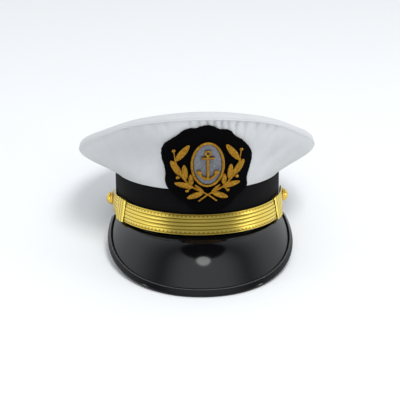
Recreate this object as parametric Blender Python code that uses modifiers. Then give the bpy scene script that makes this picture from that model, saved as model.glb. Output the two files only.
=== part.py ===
"""Peaked officer cap with a white crown, a black band, a glossy peak and a gold chin strap.

Metres, +Z up, the front of the cap towards -Y. The cap is worked out in the band's own frame, where the
band's lower edge is the plane z = 0. An empty then tips it back onto the surface that it rests on, which
it meets at the peak's front edge and at the back of the band.
"""
import math
from collections import namedtuple

import bmesh
import bpy
from mathutils import Matrix, Vector

# Clearance between two pieces that touch on the real cap
PIECE_GAP = 0.0003

# Band, an oval wall round the head
BAND_HALF_WIDTH = 0.086
BAND_HALF_LENGTH = 0.105
BAND_HEIGHT = 0.043
BAND_WALL = 0.002

# Crown, two pieces of cloth that meet at the rim seam
CLOTH_WALL = 0.0016
RIM_HALF_WIDTH = 0.1225
RIM_HALF_LENGTH = 0.1285
RIM_SET_BACK = 0.0055
FRONT_RISE = 0.073
NECK_RISE = 0.001
ROLL_HEIGHT = 0.011
ROLL_DEPTH = 0.007
WELT_RADIUS = 0.0009
WELT_PROUD = 0.0005

# Peak and the binding folded over its edge
PEAK_WALL = 0.0018
PEAK_REACH = 0.065
PEAK_SPAN = math.radians(77)
PEAK_TAPER_SPAN = math.radians(86)
PEAK_TAPER_START = 2.35
PEAK_TAPER_END = 1.35
PEAK_FRONT_SLOPE = math.radians(52)
PEAK_CORNER_SLOPE = math.radians(42)
PEAK_BULGE = 0.006
PEAK_BULGE_LEAN = 0.35
BINDING_WIDTH = 0.008
BINDING_WALL = 0.001

# How deep the two places that the cap rests on are pressed flat
REST_FLAT = 0.0004

# Chin strap, its keepers and its buttons
STRAP_WIDTH = 0.0205
STRAP_WALL = 0.0016
STRAP_CLEARANCE = 0.0017
STRAP_FOOT = 0.0006
STRAP_SIDE_RISE = 0.003
STRAP_LEAN = math.radians(20)
SLIDER_WIDTH = 0.019
SLIDER_WALL = 0.001
SLIDER_ANGLE = math.radians(62)
BUTTON_ANGLE = math.radians(86)
BUTTON_RADIUS = 0.0072
BUTTON_RIM = 0.0012
BUTTON_DOME = 0.0050
SHANK_RADIUS = 0.0015
SHANK_PAST_BAND = 0.001

# Badge, drawn from its own centre and wrapped over the front of the cap
BADGE_HALF_WIDTH = 0.043
BADGE_HALF_HEIGHT = 0.044
BADGE_SIDE_STEP = 0.004
BADGE_CENTRE_HEIGHT = 0.0655
BADGE_CLEARANCE = 0.0013
FELT_WALL = 0.0018
FELT_ROUGHNESS = 0.0003
OVAL_HALF_WIDTH = 0.0143
OVAL_HALF_HEIGHT = 0.0219
OVAL_RAISE = 0.0067
RING_RADIUS = 0.0013
FIELD_WALL = 0.001
LEAF_THICKNESS = 0.0022
STEM_RADIUS = 0.0009
BERRY_RADIUS = 0.0017
ANCHOR_HALF_HEIGHT = 0.0145
ANCHOR_HALF_WIDTH = 0.0082
ANCHOR_RADIUS = 0.0010

# How finely the surfaces are divided
RING_COLUMNS = 64
WALL_ROWS = 6
ROLL_ROWS = 3
TOP_ROWS = 4
PEAK_COLUMNS = 36
PEAK_ROWS = 5
STRAP_COLUMNS = 48
FELT_COLUMNS = 40
FELT_ROWS = 5
OVAL_COLUMNS = 28

# The rim from the front round to the back, the same on both sides. The seam's height is a share of
# FRONT_RISE, the roll's height a share of ROLL_HEIGHT. Fullness 1 is a straight wall and 2 a round one.
RimRow = namedtuple("RimRow", "angle seam_height roll_height fullness")
RIM_ROWS = (
    RimRow(angle=0, seam_height=1.00, roll_height=0.48, fullness=1.10),
    RimRow(angle=30, seam_height=0.90, roll_height=0.42, fullness=1.20),
    RimRow(angle=60, seam_height=0.575, roll_height=0.67, fullness=1.55),
    RimRow(angle=90, seam_height=0.27, roll_height=1.00, fullness=2.00),
    RimRow(angle=120, seam_height=0.225, roll_height=0.82, fullness=1.90),
    RimRow(angle=150, seam_height=0.25, roll_height=0.77, fullness=1.75),
    RimRow(angle=180, seam_height=0.28, roll_height=0.82, fullness=1.65),
)

# Soft folds in the crown's wall. The height is a share of the wall, the slant turns the fold as it
# rises, and the depth is a share of FRONT_RISE. A fold with a negative depth is a ridge.
Fold = namedtuple("Fold", "angle height slant width depth")
FOLDS = (
    Fold(angle=45, height=0.62, slant=14, width=5.0, depth=0.022),
    Fold(angle=56, height=0.60, slant=12, width=5.0, depth=0.018),
    Fold(angle=34, height=0.55, slant=10, width=6.0, depth=-0.010),
    Fold(angle=-50, height=0.55, slant=-12, width=7.0, depth=0.014),
    Fold(angle=118, height=0.50, slant=10, width=7.0, depth=0.014),
    Fold(angle=-125, height=0.50, slant=-8, width=8.0, depth=0.016),
    Fold(angle=165, height=0.50, slant=6, width=7.0, depth=0.012),
)

# The felt's scalloped outline, clockwise from the top. The reach is a share of the badge's half size.
FeltPoint = namedtuple("FeltPoint", "angle reach")
FELT_OUTLINE = (
    FeltPoint(0, 1.03), FeltPoint(8, 1.01), FeltPoint(15, 0.97), FeltPoint(22, 1.00),
    FeltPoint(29, 1.02), FeltPoint(38, 0.98), FeltPoint(50, 1.015), FeltPoint(66, 1.045),
    FeltPoint(76, 1.015), FeltPoint(87, 0.948), FeltPoint(98, 0.911), FeltPoint(107, 0.92),
    FeltPoint(116, 0.99), FeltPoint(125, 0.99), FeltPoint(136, 0.93), FeltPoint(150, 0.98),
    FeltPoint(165, 1.00), FeltPoint(180, 0.99), FeltPoint(195, 1.00), FeltPoint(210, 0.92),
    FeltPoint(226, 0.95), FeltPoint(243, 0.965), FeltPoint(253, 0.953), FeltPoint(265, 0.912),
    FeltPoint(275, 0.935), FeltPoint(284, 1.01), FeltPoint(292, 1.08), FeltPoint(301, 1.118),
    FeltPoint(311, 1.072), FeltPoint(320, 1.04), FeltPoint(330, 1.054), FeltPoint(338, 1.04),
    FeltPoint(345, 1.00), FeltPoint(352, 1.02),
)

# The laurel spray on the wearer's right, mirrored for the other side. Places and widths are shares of
# the badge's half size, from its centre, across and up.
Leaf = namedtuple("Leaf", "base_across base_up tip_across tip_up width")
LEAVES = (
    Leaf(-0.67, 0.24, -0.39, 0.61, 0.15),
    Leaf(-0.56, -0.11, -0.78, 0.24, 0.15),
    Leaf(-0.47, -0.22, -0.50, 0.15, 0.13),
    Leaf(-0.34, -0.33, -0.36, -0.07, 0.11),
    Leaf(-0.30, -0.385, -0.70, -0.29, 0.14),
    Leaf(-0.09, -0.515, -0.43, -0.66, 0.14),
    Leaf(-0.08, -0.515, -0.27, -0.32, 0.08),
)
Berry = namedtuple("Berry", "across up stem_across stem_up")
BERRIES = (
    Berry(-0.72, 0.47, -0.69, 0.27),
    Berry(-0.63, -0.16, -0.55, -0.13),
    Berry(-0.43, -0.48, -0.34, -0.39),
)
StemPoint = namedtuple("StemPoint", "across up")
STEM = (
    StemPoint(0.19, -0.72), StemPoint(0.0, -0.57), StemPoint(-0.29, -0.40),
    StemPoint(-0.49, -0.20), StemPoint(-0.64, 0.04), StemPoint(-0.69, 0.28),
)


def clear_scene():
    for old in list(bpy.data.objects):
        bpy.data.objects.remove(old, do_unlink=True)


def make_collection(name):
    collection = bpy.data.collections.new(name)
    bpy.context.scene.collection.children.link(collection)
    return collection


def make_material(name, colour, roughness, metallic=0.0):
    material = bpy.data.materials.new(name)
    material.use_nodes = True
    shader = material.node_tree.nodes["Principled BSDF"]
    shader.inputs["Base Color"].default_value = (*colour, 1.0)
    shader.inputs["Roughness"].default_value = roughness
    shader.inputs["Metallic"].default_value = metallic
    return material


def add_piece(name, mesh, material, home):
    """Link a mesh as one piece of the cap, in the band's frame."""
    piece = bpy.data.objects.new(name, mesh)
    home["pieces"].objects.link(piece)
    piece.parent = home["frame"]
    mesh.materials.append(material)
    mesh.shade_smooth()
    mesh.set_sharp_from_angle(angle=math.radians(40))
    return piece


def add_cutter(name, mesh, home, in_band_frame=True):
    cutter = bpy.data.objects.new(name, mesh)
    home["cutters"].objects.link(cutter)
    if in_band_frame:
        cutter.parent = home["frame"]
    cutter.hide_render = True
    cutter.display_type = "WIRE"
    return cutter


def bent_grid(name, columns, rows, place):
    """A grid whose point (along, across), each from 0 to 1, is moved to place(along, across)."""
    mesh = bpy.data.meshes.new(name)
    bm = bmesh.new()
    bmesh.ops.create_grid(bm, x_segments=columns, y_segments=rows, size=0.5)
    for vertex in bm.verts:
        vertex.co = place(vertex.co.x + 0.5, vertex.co.y + 0.5)
    bmesh.ops.remove_doubles(bm, verts=bm.verts, dist=0.00001)
    bmesh.ops.recalc_face_normals(bm, faces=bm.faces)
    bm.to_mesh(mesh)
    bm.free()
    return mesh


def thicken(piece, thickness):
    wall = piece.modifiers.new("wall", "SOLIDIFY")
    wall.thickness = thickness
    wall.offset = 0.0
    wall.use_even_offset = True


def cut(piece, cutter, name):
    hole = piece.modifiers.new(name, "BOOLEAN")
    hole.operation = "DIFFERENCE"
    hole.solver = "EXACT"
    hole.object = cutter


def baked_mesh(piece):
    """The evaluated mesh of an object, in the object's own frame."""
    bpy.context.view_layer.update()
    depsgraph = bpy.context.evaluated_depsgraph_get()
    return bpy.data.meshes.new_from_object(piece.evaluated_get(depsgraph))


def between(low, high, share):
    return low + (high - low) * share


def catmull_rom(values, share):
    """A smooth value between the second and third of four values."""
    before, start, end, after = values
    bend = 2 * before - 5 * start + 4 * end - after
    twist = 3 * (start - end) + after - before
    return start + 0.5 * share * (end - before + share * (bend + share * twist))


def oval_point(angle, half_width, half_length, height, set_back=0.0):
    """A point on an oval round the head, by its angle from the front."""
    return Vector((half_width * math.sin(angle), set_back - half_length * math.cos(angle), height))


def band_normal(angle):
    normal = Vector((math.sin(angle) / BAND_HALF_WIDTH, -math.cos(angle) / BAND_HALF_LENGTH, 0))
    return normal.normalized()


def rim_value(column, angle):
    """One column of the rim's table at any angle, the same on both sides of the cap."""
    last = len(RIM_ROWS) - 1
    turned = math.degrees(abs(math.remainder(angle, 2 * math.pi)))
    position = turned / RIM_ROWS[1].angle
    row = min(int(position), last - 1)
    near = (abs(row - 1), row, row + 1, last - abs(last - row - 2))
    return catmull_rom([getattr(RIM_ROWS[index], column) for index in near], position - row)


def fold_depth(angle, height):
    """How far the folds draw the crown's wall in. They fade out at the band and at the seam."""
    depth = 0.0
    for fold in FOLDS:
        middle = fold.angle + fold.slant * (height - fold.height)
        away = math.degrees(math.remainder(angle - math.radians(middle), 2 * math.pi)) / fold.width
        depth += fold.depth * FRONT_RISE * math.exp(-away * away)
    return depth * math.sin(math.pi * height) ** 2


def seam_height(angle):
    return BAND_HEIGHT + FRONT_RISE * rim_value("seam_height", angle)


def neck_height():
    return BAND_HEIGHT + PIECE_GAP + NECK_RISE


def wall_point(angle, height, start_width, start_length):
    """The crown's wall at a height from 0 at its neck to 1 at the seam."""
    spread = 1 - max(0.0, 1 - height) ** rim_value("fullness", angle)
    low = oval_point(angle, start_width, start_length, neck_height())
    high = oval_point(angle, RIM_HALF_WIDTH, RIM_HALF_LENGTH, seam_height(angle), RIM_SET_BACK)
    point = low.lerp(high, spread)
    point.z = between(low.z, high.z, height)
    return point


def crown_wall(angle, height):
    """The middle of the wall's cloth, with its folds."""
    inset = BAND_WALL / 2
    point = wall_point(angle, height, BAND_HALF_WIDTH - inset, BAND_HALF_LENGTH - inset)
    return point - band_normal(angle) * fold_depth(angle, height)


def roll_point(angle, turn):
    """The rolled rim: turn 0 is the seam, and a quarter turn is the crest."""
    seam = oval_point(angle, RIM_HALF_WIDTH, RIM_HALF_LENGTH, seam_height(angle), RIM_SET_BACK)
    inwards = -band_normal(angle)
    rise = ROLL_HEIGHT * rim_value("roll_height", angle)
    return seam + inwards * ROLL_DEPTH * (1 - math.cos(turn)) + Vector((0, 0, rise * math.sin(turn)))


def rim_waves(count=5):
    """The crest's height as a sum of cosines, by averaging it round the rim."""
    angles = [2 * math.pi * index / RING_COLUMNS for index in range(RING_COLUMNS)]
    heights = [roll_point(angle, math.pi / 2).z for angle in angles]
    waves = []
    for order in range(count):
        products = [height * math.cos(order * angle) for angle, height in zip(angles, heights)]
        waves.append(sum(products) / RING_COLUMNS * (2 if order else 1))
    return waves


def top_point(angle, share, waves):
    """The stretched top: cloth pulled tight over the rim takes the height of a soap film."""
    crest = roll_point(angle, math.pi / 2)
    middle = Vector((0, RIM_SET_BACK, 0))
    point = middle.lerp(crest, share)
    film = sum(size * share ** order * math.cos(order * angle) for order, size in enumerate(waves))
    rim_film = sum(size * math.cos(order * angle) for order, size in enumerate(waves))
    point.z = film + (crest.z - rim_film) * share ** len(waves)
    return point


def seam_step():
    """How far each cloth edge stops short of the seam, to leave room for the welt."""
    return WELT_RADIUS + PIECE_GAP


def make_crown_side(home, cloth):
    def place(along, across):
        angle = 2 * math.pi * along
        if across == 0.0:
            foot = crown_wall(angle, 0.0)
            foot.z = BAND_HEIGHT + PIECE_GAP
            return foot
        first = 1 / WALL_ROWS
        height = max(0.0, (across - first) / (1 - first))
        top = crown_wall(angle, 1.0)
        below = crown_wall(angle, 0.98)
        edge = 1.0 - 0.02 * seam_step() / (top - below).length
        return crown_wall(angle, height * edge)

    mesh = bent_grid("crown_side", RING_COLUMNS, WALL_ROWS, place)
    thicken(add_piece("crown_side", mesh, cloth, home), CLOTH_WALL)


def make_crown_top(home, cloth):
    waves = rim_waves()

    def place(along, across):
        angle = 2 * math.pi * along
        row = across * (ROLL_ROWS + TOP_ROWS)
        if row <= ROLL_ROWS:
            first_turn = seam_step() / (ROLL_HEIGHT * rim_value("roll_height", angle))
            return roll_point(angle, between(first_turn, math.pi / 2, row / ROLL_ROWS))
        inward = (row - ROLL_ROWS) / TOP_ROWS
        return top_point(angle, 1 - inward, waves)

    mesh = bent_grid("crown_top", RING_COLUMNS, ROLL_ROWS + TOP_ROWS, place)
    thicken(add_piece("crown_top", mesh, cloth, home), CLOTH_WALL)


def tube_mesh(name, points, radius, resolution, cyclic=False):
    """A round tube through the points, as one closed mesh."""
    curve = bpy.data.curves.new(name, "CURVE")
    curve.dimensions = "3D"
    curve.bevel_depth = radius
    curve.bevel_resolution = resolution
    curve.use_fill_caps = True
    spline = curve.splines.new("POLY")
    spline.points.add(len(points) - 1)
    for target, point in zip(spline.points, points):
        target.co = (*point, 1.0)
    spline.use_cyclic_u = cyclic
    guide = bpy.data.objects.new(name, curve)
    bpy.context.scene.collection.objects.link(guide)
    mesh = baked_mesh(guide)
    bpy.data.objects.remove(guide, do_unlink=True)
    bm = bmesh.new()
    bm.from_mesh(mesh)
    bmesh.ops.remove_doubles(bm, verts=bm.verts, dist=0.00001)
    bmesh.ops.recalc_face_normals(bm, faces=bm.faces)
    bm.to_mesh(mesh)
    bm.free()
    return mesh


def make_rim_welt(home, cloth):
    points = []
    for index in range(RING_COLUMNS):
        angle = 2 * math.pi * index / RING_COLUMNS
        points.append(roll_point(angle, 0.0) + band_normal(angle) * WELT_PROUD)
    mesh = tube_mesh("rim_welt", points, WELT_RADIUS, 0, cyclic=True)
    add_piece("rim_welt", mesh, cloth, home)


def make_band(home, ribbon):
    def place(along, across):
        inset = BAND_WALL / 2
        angle = 2 * math.pi * along
        height = BAND_HEIGHT * across
        return oval_point(angle, BAND_HALF_WIDTH - inset, BAND_HALF_LENGTH - inset, height)

    piece = add_piece("band", bent_grid("band", RING_COLUMNS, 1, place), ribbon, home)
    thicken(piece, BAND_WALL)
    return piece


def peak_reach(angle):
    """The peak's length from the band to its edge, longest at the middle."""
    share = min(1.0, abs(angle) / PEAK_TAPER_SPAN)
    return PEAK_REACH * (1 - share ** PEAK_TAPER_START) ** PEAK_TAPER_END


def peak_frame(angle):
    """The peak's root on the band, the way it slopes and its upper side's normal."""
    share = abs(angle) / PEAK_TAPER_SPAN
    slope = between(PEAK_FRONT_SLOPE, PEAK_CORNER_SLOPE, share * share)
    outwards = band_normal(angle)
    root = oval_point(angle, BAND_HALF_WIDTH, BAND_HALF_LENGTH, -PIECE_GAP) + outwards * PIECE_GAP
    down = outwards * math.cos(slope) - Vector((0, 0, math.sin(slope)))
    normal = outwards * math.sin(slope) + Vector((0, 0, math.cos(slope)))
    return root, down, normal


def binding_radius():
    """The outer radius of the binding's folded edge."""
    return PEAK_WALL / 2 + PIECE_GAP + BINDING_WALL


def fold_centre(angle):
    """The middle of the binding's round edge."""
    root, down, _ = peak_frame(angle)
    return root + down * (peak_reach(angle) - binding_radius())


def peak_point(angle, share):
    """The middle of the peak, from its root to its fold. It is pressed to a bulge, fullest near the band."""
    root, _, normal = peak_frame(angle)
    height = PEAK_BULGE * (peak_reach(angle) / PEAK_REACH) ** 2
    shape = 4 * share * (1 - share) * (1 + PEAK_BULGE_LEAN * (1 - 2 * share))
    return root.lerp(fold_centre(angle), share) + normal * height * shape


def binding_start(angle):
    """The share of the peak's length at which the binding's flat begins."""
    room = peak_reach(angle) - binding_radius()
    return 1 - min(BINDING_WIDTH - binding_radius(), room) / room


def edge_frame(angle):
    """The way down the peak under the binding's flat, the flat's length and the peak's normal there."""
    _, slope, up = peak_frame(angle)
    flat = fold_centre(angle) - peak_point(angle, binding_start(angle))
    down = flat.normalized()
    return down, flat.length, up * down.dot(slope) - slope * down.dot(up)


def peak_angle(along):
    return between(-PEAK_SPAN, PEAK_SPAN, along)


def make_peak(home, patent):
    def place(along, across):
        angle = peak_angle(along)
        share = min(1.0, across * PEAK_ROWS / (PEAK_ROWS - 1)) * binding_start(angle)
        return peak_point(angle, share if across < 1.0 else 1.0)

    mesh = bent_grid("peak", PEAK_COLUMNS, PEAK_ROWS, place)
    thicken(add_piece("peak", mesh, patent, home), PEAK_WALL)


def make_peak_binding(home, patent):
    bend_rows = 4
    flat_rows = 1
    rows = bend_rows + 2 * flat_rows
    radius = binding_radius() - BINDING_WALL / 2

    def place(along, across):
        angle = peak_angle(along)
        down, flat, normal = edge_frame(angle)
        row = across * rows
        bend = min(max(row - flat_rows, 0), bend_rows) / bend_rows * math.pi
        back = max(flat_rows - row, row - flat_rows - bend_rows, 0) / flat_rows
        edge = down * math.sin(bend) * radius + normal * math.cos(bend) * radius
        return fold_centre(angle) + edge - down * flat * back

    mesh = bent_grid("peak_binding", PEAK_COLUMNS, rows, place)
    piece = add_piece("peak_binding", mesh, patent, home)
    thicken(piece, BINDING_WALL)
    return piece


def strap_point(angle, across, out=0.0):
    """The middle of the strap. Across runs from -1 at its foot to 1 at its top edge."""
    lean = STRAP_LEAN * max(0.0, math.cos(angle))
    top_height = STRAP_FOOT + STRAP_WIDTH * math.cos(STRAP_LEAN)
    top_height += STRAP_SIDE_RISE * (1 - math.cos(angle))
    below_top = STRAP_WIDTH * (1 - across) / 2
    normal = band_normal(angle)
    base = oval_point(angle, BAND_HALF_WIDTH, BAND_HALF_LENGTH, top_height - below_top * math.cos(lean))
    stand = STRAP_CLEARANCE + STRAP_WALL / 2 + below_top * math.sin(lean) + out * math.cos(lean)
    return base + normal * stand + Vector((0, 0, out * math.sin(lean)))


def arc_speed(angle):
    """How far a point on the band moves for each radian."""
    return math.hypot(BAND_HALF_WIDTH * math.cos(angle), BAND_HALF_LENGTH * math.sin(angle))


def strap_end_angle():
    return BUTTON_ANGLE + STRAP_WIDTH / 2 / arc_speed(BUTTON_ANGLE)


def make_chin_strap(home, lace):
    end = strap_end_angle()
    half_width = STRAP_WIDTH / 2

    def place(along, across):
        angle = between(-end, end, along)
        past_button = max(0.0, abs(angle) - BUTTON_ANGLE) * arc_speed(BUTTON_ANGLE) / half_width
        narrowing = max(0.35, math.sqrt(max(0.0, 1 - past_button ** 2)))
        return strap_point(angle, between(-1, 1, across) * narrowing)

    mesh = bent_grid("chin_strap", STRAP_COLUMNS, 2, place)
    piece = add_piece("chin_strap", mesh, lace, home)
    thicken(piece, STRAP_WALL)
    return piece


def make_slider(home, lace, name, side):
    """A loop of lace round the strap, run along it at one angle."""
    half_turn = SLIDER_WIDTH / 2 / arc_speed(SLIDER_ANGLE)
    out = STRAP_WALL / 2 + PIECE_GAP + SLIDER_WALL / 2
    up = 1 + (PIECE_GAP + SLIDER_WALL / 2) / (STRAP_WIDTH / 2)
    loop = ((-up, out), (0, out), (up, out), (up, -out), (0, -out), (-up, -out))

    def place(along, across):
        angle = side * between(SLIDER_ANGLE - half_turn, SLIDER_ANGLE + half_turn, along)
        corner = loop[round(across * len(loop)) % len(loop)]
        return strap_point(angle, corner[0], corner[1])

    mesh = bent_grid(name, 5, len(loop), place)
    thicken(add_piece(name, mesh, lace, home), SLIDER_WALL)


def button_place(side):
    """The button's seat on the strap, with its Z axis pointing out of the cap."""
    angle = side * BUTTON_ANGLE
    seat = strap_point(angle, 0.0, STRAP_WALL / 2 + PIECE_GAP)
    turn = band_normal(angle).to_track_quat("Z", "Y").to_matrix().to_4x4()
    return Matrix.Translation(seat) @ turn


def shank_length():
    through_strap = PIECE_GAP + STRAP_WALL + STRAP_CLEARANCE
    return through_strap + BAND_WALL + SHANK_PAST_BAND


def make_button(home, gilt, name, side):
    """A dome, its rim and the shank behind it, turned from one profile."""
    dome_steps = 5
    profile = []
    for step in range(dome_steps + 1):
        turn = math.pi / 2 * step / dome_steps
        profile.append((BUTTON_RADIUS * math.sin(turn), BUTTON_RIM + BUTTON_DOME * math.cos(turn)))
    profile += [(BUTTON_RADIUS, 0), (SHANK_RADIUS, 0), (SHANK_RADIUS, -shank_length())]
    profile.append((0, -shank_length()))
    mesh = bpy.data.meshes.new(name)
    edges = [(index, index + 1) for index in range(len(profile) - 1)]
    mesh.from_pydata([(radius, 0, height) for radius, height in profile], edges, [])
    guide = bpy.data.objects.new(name, mesh)
    bpy.context.scene.collection.objects.link(guide)
    spin = guide.modifiers.new("spin", "SCREW")
    spin.steps = 18
    spin.render_steps = 18
    spin.use_merge_vertices = True
    spin.merge_threshold = 0.00005
    turned = baked_mesh(guide)
    bpy.data.objects.remove(guide, do_unlink=True)
    piece = add_piece(name, turned, gilt, home)
    piece.matrix_local = button_place(side)


def shank_cutter(home, side):
    name = "shank_hole_left" if side < 0 else "shank_hole_right"
    mesh = bpy.data.meshes.new(name)
    bm = bmesh.new()
    radius = SHANK_RADIUS + PIECE_GAP
    depth = 2 * shank_length() + 2 * BUTTON_RIM
    bmesh.ops.create_cone(bm, cap_ends=True, segments=18, radius1=radius, radius2=radius, depth=depth)
    bm.to_mesh(mesh)
    bm.free()
    cutter = add_cutter(name, mesh, home)
    cutter.matrix_local = button_place(side)
    return cutter


def front_point(across, height):
    """The front of the cap, band and crown in one smooth sheet, by place across and height."""
    angle = math.asin(max(-1, min(1, across / BAND_HALF_WIDTH)))
    for _ in range(8):
        share = (height - neck_height()) / (seam_height(angle) - neck_height())
        soft_share = 0.5 * (share + math.hypot(share, 0.08))
        point = wall_point(angle, soft_share, BAND_HALF_WIDTH, BAND_HALF_LENGTH)
        point.z = height
        angle += (across - point.x) / (BAND_HALF_WIDTH * math.cos(angle))
    return point


def badge_point(across, up, lift):
    """A place on the badge, measured from its centre and lifted off the cap's front."""
    step = 0.001
    x = BADGE_SIDE_STEP + across
    z = BADGE_CENTRE_HEIGHT + up
    point = front_point(x, z)
    sideways = front_point(x + step, z) - front_point(x - step, z)
    upwards = front_point(x, z + step) - front_point(x, z - step)
    return point + sideways.cross(upwards).normalized() * lift


def felt_face():
    """The height at which embroidery lies on the felt. The felt's facets bend, so it has a little more."""
    return BADGE_CLEARANCE + FELT_WALL + FELT_ROUGHNESS


def felt_reach(turn):
    """The scalloped outline's reach at a turn from the top, clockwise, from 0 to 1."""
    count = len(FELT_OUTLINE)
    degrees = 360 * turn
    row = max(index for index in range(count) if FELT_OUTLINE[index].angle <= degrees)
    start = FELT_OUTLINE[row].angle
    end = FELT_OUTLINE[(row + 1) % count].angle or 360
    near = [FELT_OUTLINE[(row + step) % count].reach for step in (-1, 0, 1, 2)]
    return catmull_rom(near, (degrees - start) / (end - start))


def make_badge_backing(home, felt):
    def place(along, across):
        turn = along % 1.0
        reach = felt_reach(turn) * (1 - across)
        sideways = BADGE_HALF_WIDTH * reach * math.sin(2 * math.pi * turn)
        up = BADGE_HALF_HEIGHT * reach * math.cos(2 * math.pi * turn)
        return badge_point(sideways, up, BADGE_CLEARANCE + FELT_WALL / 2)

    mesh = bent_grid("badge_backing", FELT_COLUMNS, FELT_ROWS, place)
    thicken(add_piece("badge_backing", mesh, felt, home), FELT_WALL)


def make_badge_field(home, silver):
    lift = felt_face() + PIECE_GAP + FIELD_WALL / 2
    inside = RING_RADIUS + PIECE_GAP

    def place(along, across):
        turn = 2 * math.pi * along
        sideways = (OVAL_HALF_WIDTH - inside) * (1 - across) * math.sin(turn)
        up = OVAL_RAISE + (OVAL_HALF_HEIGHT - inside) * (1 - across) * math.cos(turn)
        return badge_point(sideways, up, lift)

    mesh = bent_grid("badge_field", OVAL_COLUMNS, 2, place)
    thicken(add_piece("badge_field", mesh, silver, home), FIELD_WALL)


def make_badge_ring(home, gold):
    points = []
    for index in range(OVAL_COLUMNS):
        turn = 2 * math.pi * index / OVAL_COLUMNS
        sideways = OVAL_HALF_WIDTH * math.sin(turn)
        up = OVAL_RAISE + OVAL_HALF_HEIGHT * math.cos(turn)
        points.append(badge_point(sideways, up, felt_face() + PIECE_GAP + RING_RADIUS))
    add_piece("badge_ring", tube_mesh("badge_ring", points, RING_RADIUS, 1, cyclic=True), gold, home)


def ellipsoid(name, base, tip, half_width, half_thickness):
    """A leaf or a berry lying flat in the badge's drawing plane."""
    length = (tip - base).length
    mesh = bpy.data.meshes.new(name)
    bm = bmesh.new()
    bmesh.ops.create_uvsphere(bm, u_segments=6, v_segments=5, radius=1.0)
    along = (tip - base).normalized()
    relief = Vector((0, 1, 0))
    turn = Matrix((relief.cross(along), relief, along)).transposed().to_4x4()
    size = Matrix.Diagonal((half_width, half_thickness, length / 2, 1))
    bmesh.ops.transform(bm, verts=bm.verts, matrix=Matrix.Translation((base + tip) / 2) @ turn @ size)
    bmesh.ops.recalc_face_normals(bm, faces=bm.faces)
    bm.to_mesh(mesh)
    bm.free()
    return mesh


def fuse(name, meshes, home):
    """Join overlapping closed meshes into one body with a Boolean union."""
    shapes = bpy.data.collections.new(name + "_shapes")
    home["cutters"].children.link(shapes)
    for index, mesh in enumerate(meshes[1:]):
        shape = bpy.data.objects.new(name + "_shape_" + str(index), mesh)
        shapes.objects.link(shape)
        shape.hide_render = True
        shape.display_type = "WIRE"
    body = bpy.data.objects.new(name + "_body", meshes[0])
    home["cutters"].objects.link(body)
    union = body.modifiers.new("union", "BOOLEAN")
    union.operation = "UNION"
    union.solver = "EXACT"
    union.operand_type = "COLLECTION"
    union.collection = shapes
    fused = baked_mesh(body)
    for shape in list(shapes.objects):
        bpy.data.objects.remove(shape, do_unlink=True)
    bpy.data.objects.remove(body, do_unlink=True)
    bpy.data.collections.remove(shapes)
    return fused


def wrap_on_badge(mesh):
    """Bend a flat drawing, whose Y is minus its relief, over the badge's face."""
    for vertex in mesh.vertices:
        flat = vertex.co.copy()
        vertex.co = badge_point(flat.x, flat.z, -flat.y)
    mesh.update()


def drawn(across, up, relief):
    return Vector((across * BADGE_HALF_WIDTH, -relief, up * BADGE_HALF_HEIGHT))


def spray_meshes(side):
    """One laurel spray: a stem, its leaves and its berries."""
    level = felt_face() + PIECE_GAP + LEAF_THICKNESS / 2
    meshes = []
    points = [drawn(side * point.across, point.up, level - side * STEM_RADIUS / 3) for point in STEM]
    meshes.append(tube_mesh("stem", points, STEM_RADIUS, 1))
    for leaf in LEAVES:
        base = drawn(side * leaf.base_across, leaf.base_up, level)
        tip = drawn(side * leaf.tip_across, leaf.tip_up, level)
        half_width = leaf.width * BADGE_HALF_WIDTH / 2
        meshes.append(ellipsoid("leaf", base, tip, half_width, LEAF_THICKNESS / 2))
    for berry in BERRIES:
        centre = drawn(side * berry.across, berry.up, level)
        foot = drawn(side * berry.stem_across, berry.stem_up, level)
        reach = Vector((0, 0, BERRY_RADIUS))
        meshes.append(ellipsoid("berry", centre - reach, centre + reach, BERRY_RADIUS, LEAF_THICKNESS / 2))
        meshes.append(tube_mesh("stalk", [foot, centre], STEM_RADIUS * 0.7, 0))
    return meshes


def make_badge_wreath(home, gold):
    mesh = fuse("badge_wreath", spray_meshes(1) + spray_meshes(-1), home)
    wrap_on_badge(mesh)
    add_piece("badge_wreath", mesh, gold, home)


def make_badge_anchor(home, gold):
    """A plain upright anchor: ring, stock, shank and curved arms."""
    level = felt_face() + 2 * PIECE_GAP + FIELD_WALL + ANCHOR_RADIUS
    middle = OVAL_RAISE

    def spot(across, up):
        return Vector((across * ANCHOR_HALF_WIDTH, -level, middle + up * ANCHOR_HALF_HEIGHT))

    arms = []
    for index in range(9):
        turn = math.radians(between(-68, 68, index / 8))
        arms.append(spot(1.05 * math.sin(turn), -0.25 - 0.72 * math.cos(turn)))
    eye = [spot(0.26 * math.sin(2 * math.pi * index / 8), 0.84 + 0.15 * math.cos(2 * math.pi * index / 8))
           for index in range(8)]
    fluke_reach = Vector((0, 0, ANCHOR_HALF_HEIGHT * 0.16))
    meshes = [tube_mesh("shank", [spot(0, 0.72), spot(0, -0.97)], ANCHOR_RADIUS, 1)]
    meshes.append(tube_mesh("stock", [spot(-0.72, 0.5), spot(0.72, 0.5)], ANCHOR_RADIUS * 0.9, 1))
    meshes.append(tube_mesh("arms", arms, ANCHOR_RADIUS, 1))
    meshes.append(tube_mesh("eye", eye, ANCHOR_RADIUS * 0.75, 0, cyclic=True))
    for tip in (arms[0], arms[-1]):
        low, high = tip - fluke_reach, tip + fluke_reach
        meshes.append(ellipsoid("fluke", low, high, ANCHOR_RADIUS * 1.9, ANCHOR_RADIUS))
    mesh = fuse("badge_anchor", meshes, home)
    wrap_on_badge(mesh)
    add_piece("badge_anchor", mesh, gold, home)


def rest_tilt():
    """How far the cap tips back when the binding and the back of the band meet the same surface."""
    front = fold_centre(0.0)
    run = BAND_HALF_LENGTH - front.y
    drop = -front.z
    return math.atan2(drop, run) + math.asin(binding_radius() / math.hypot(run, drop))


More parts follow.
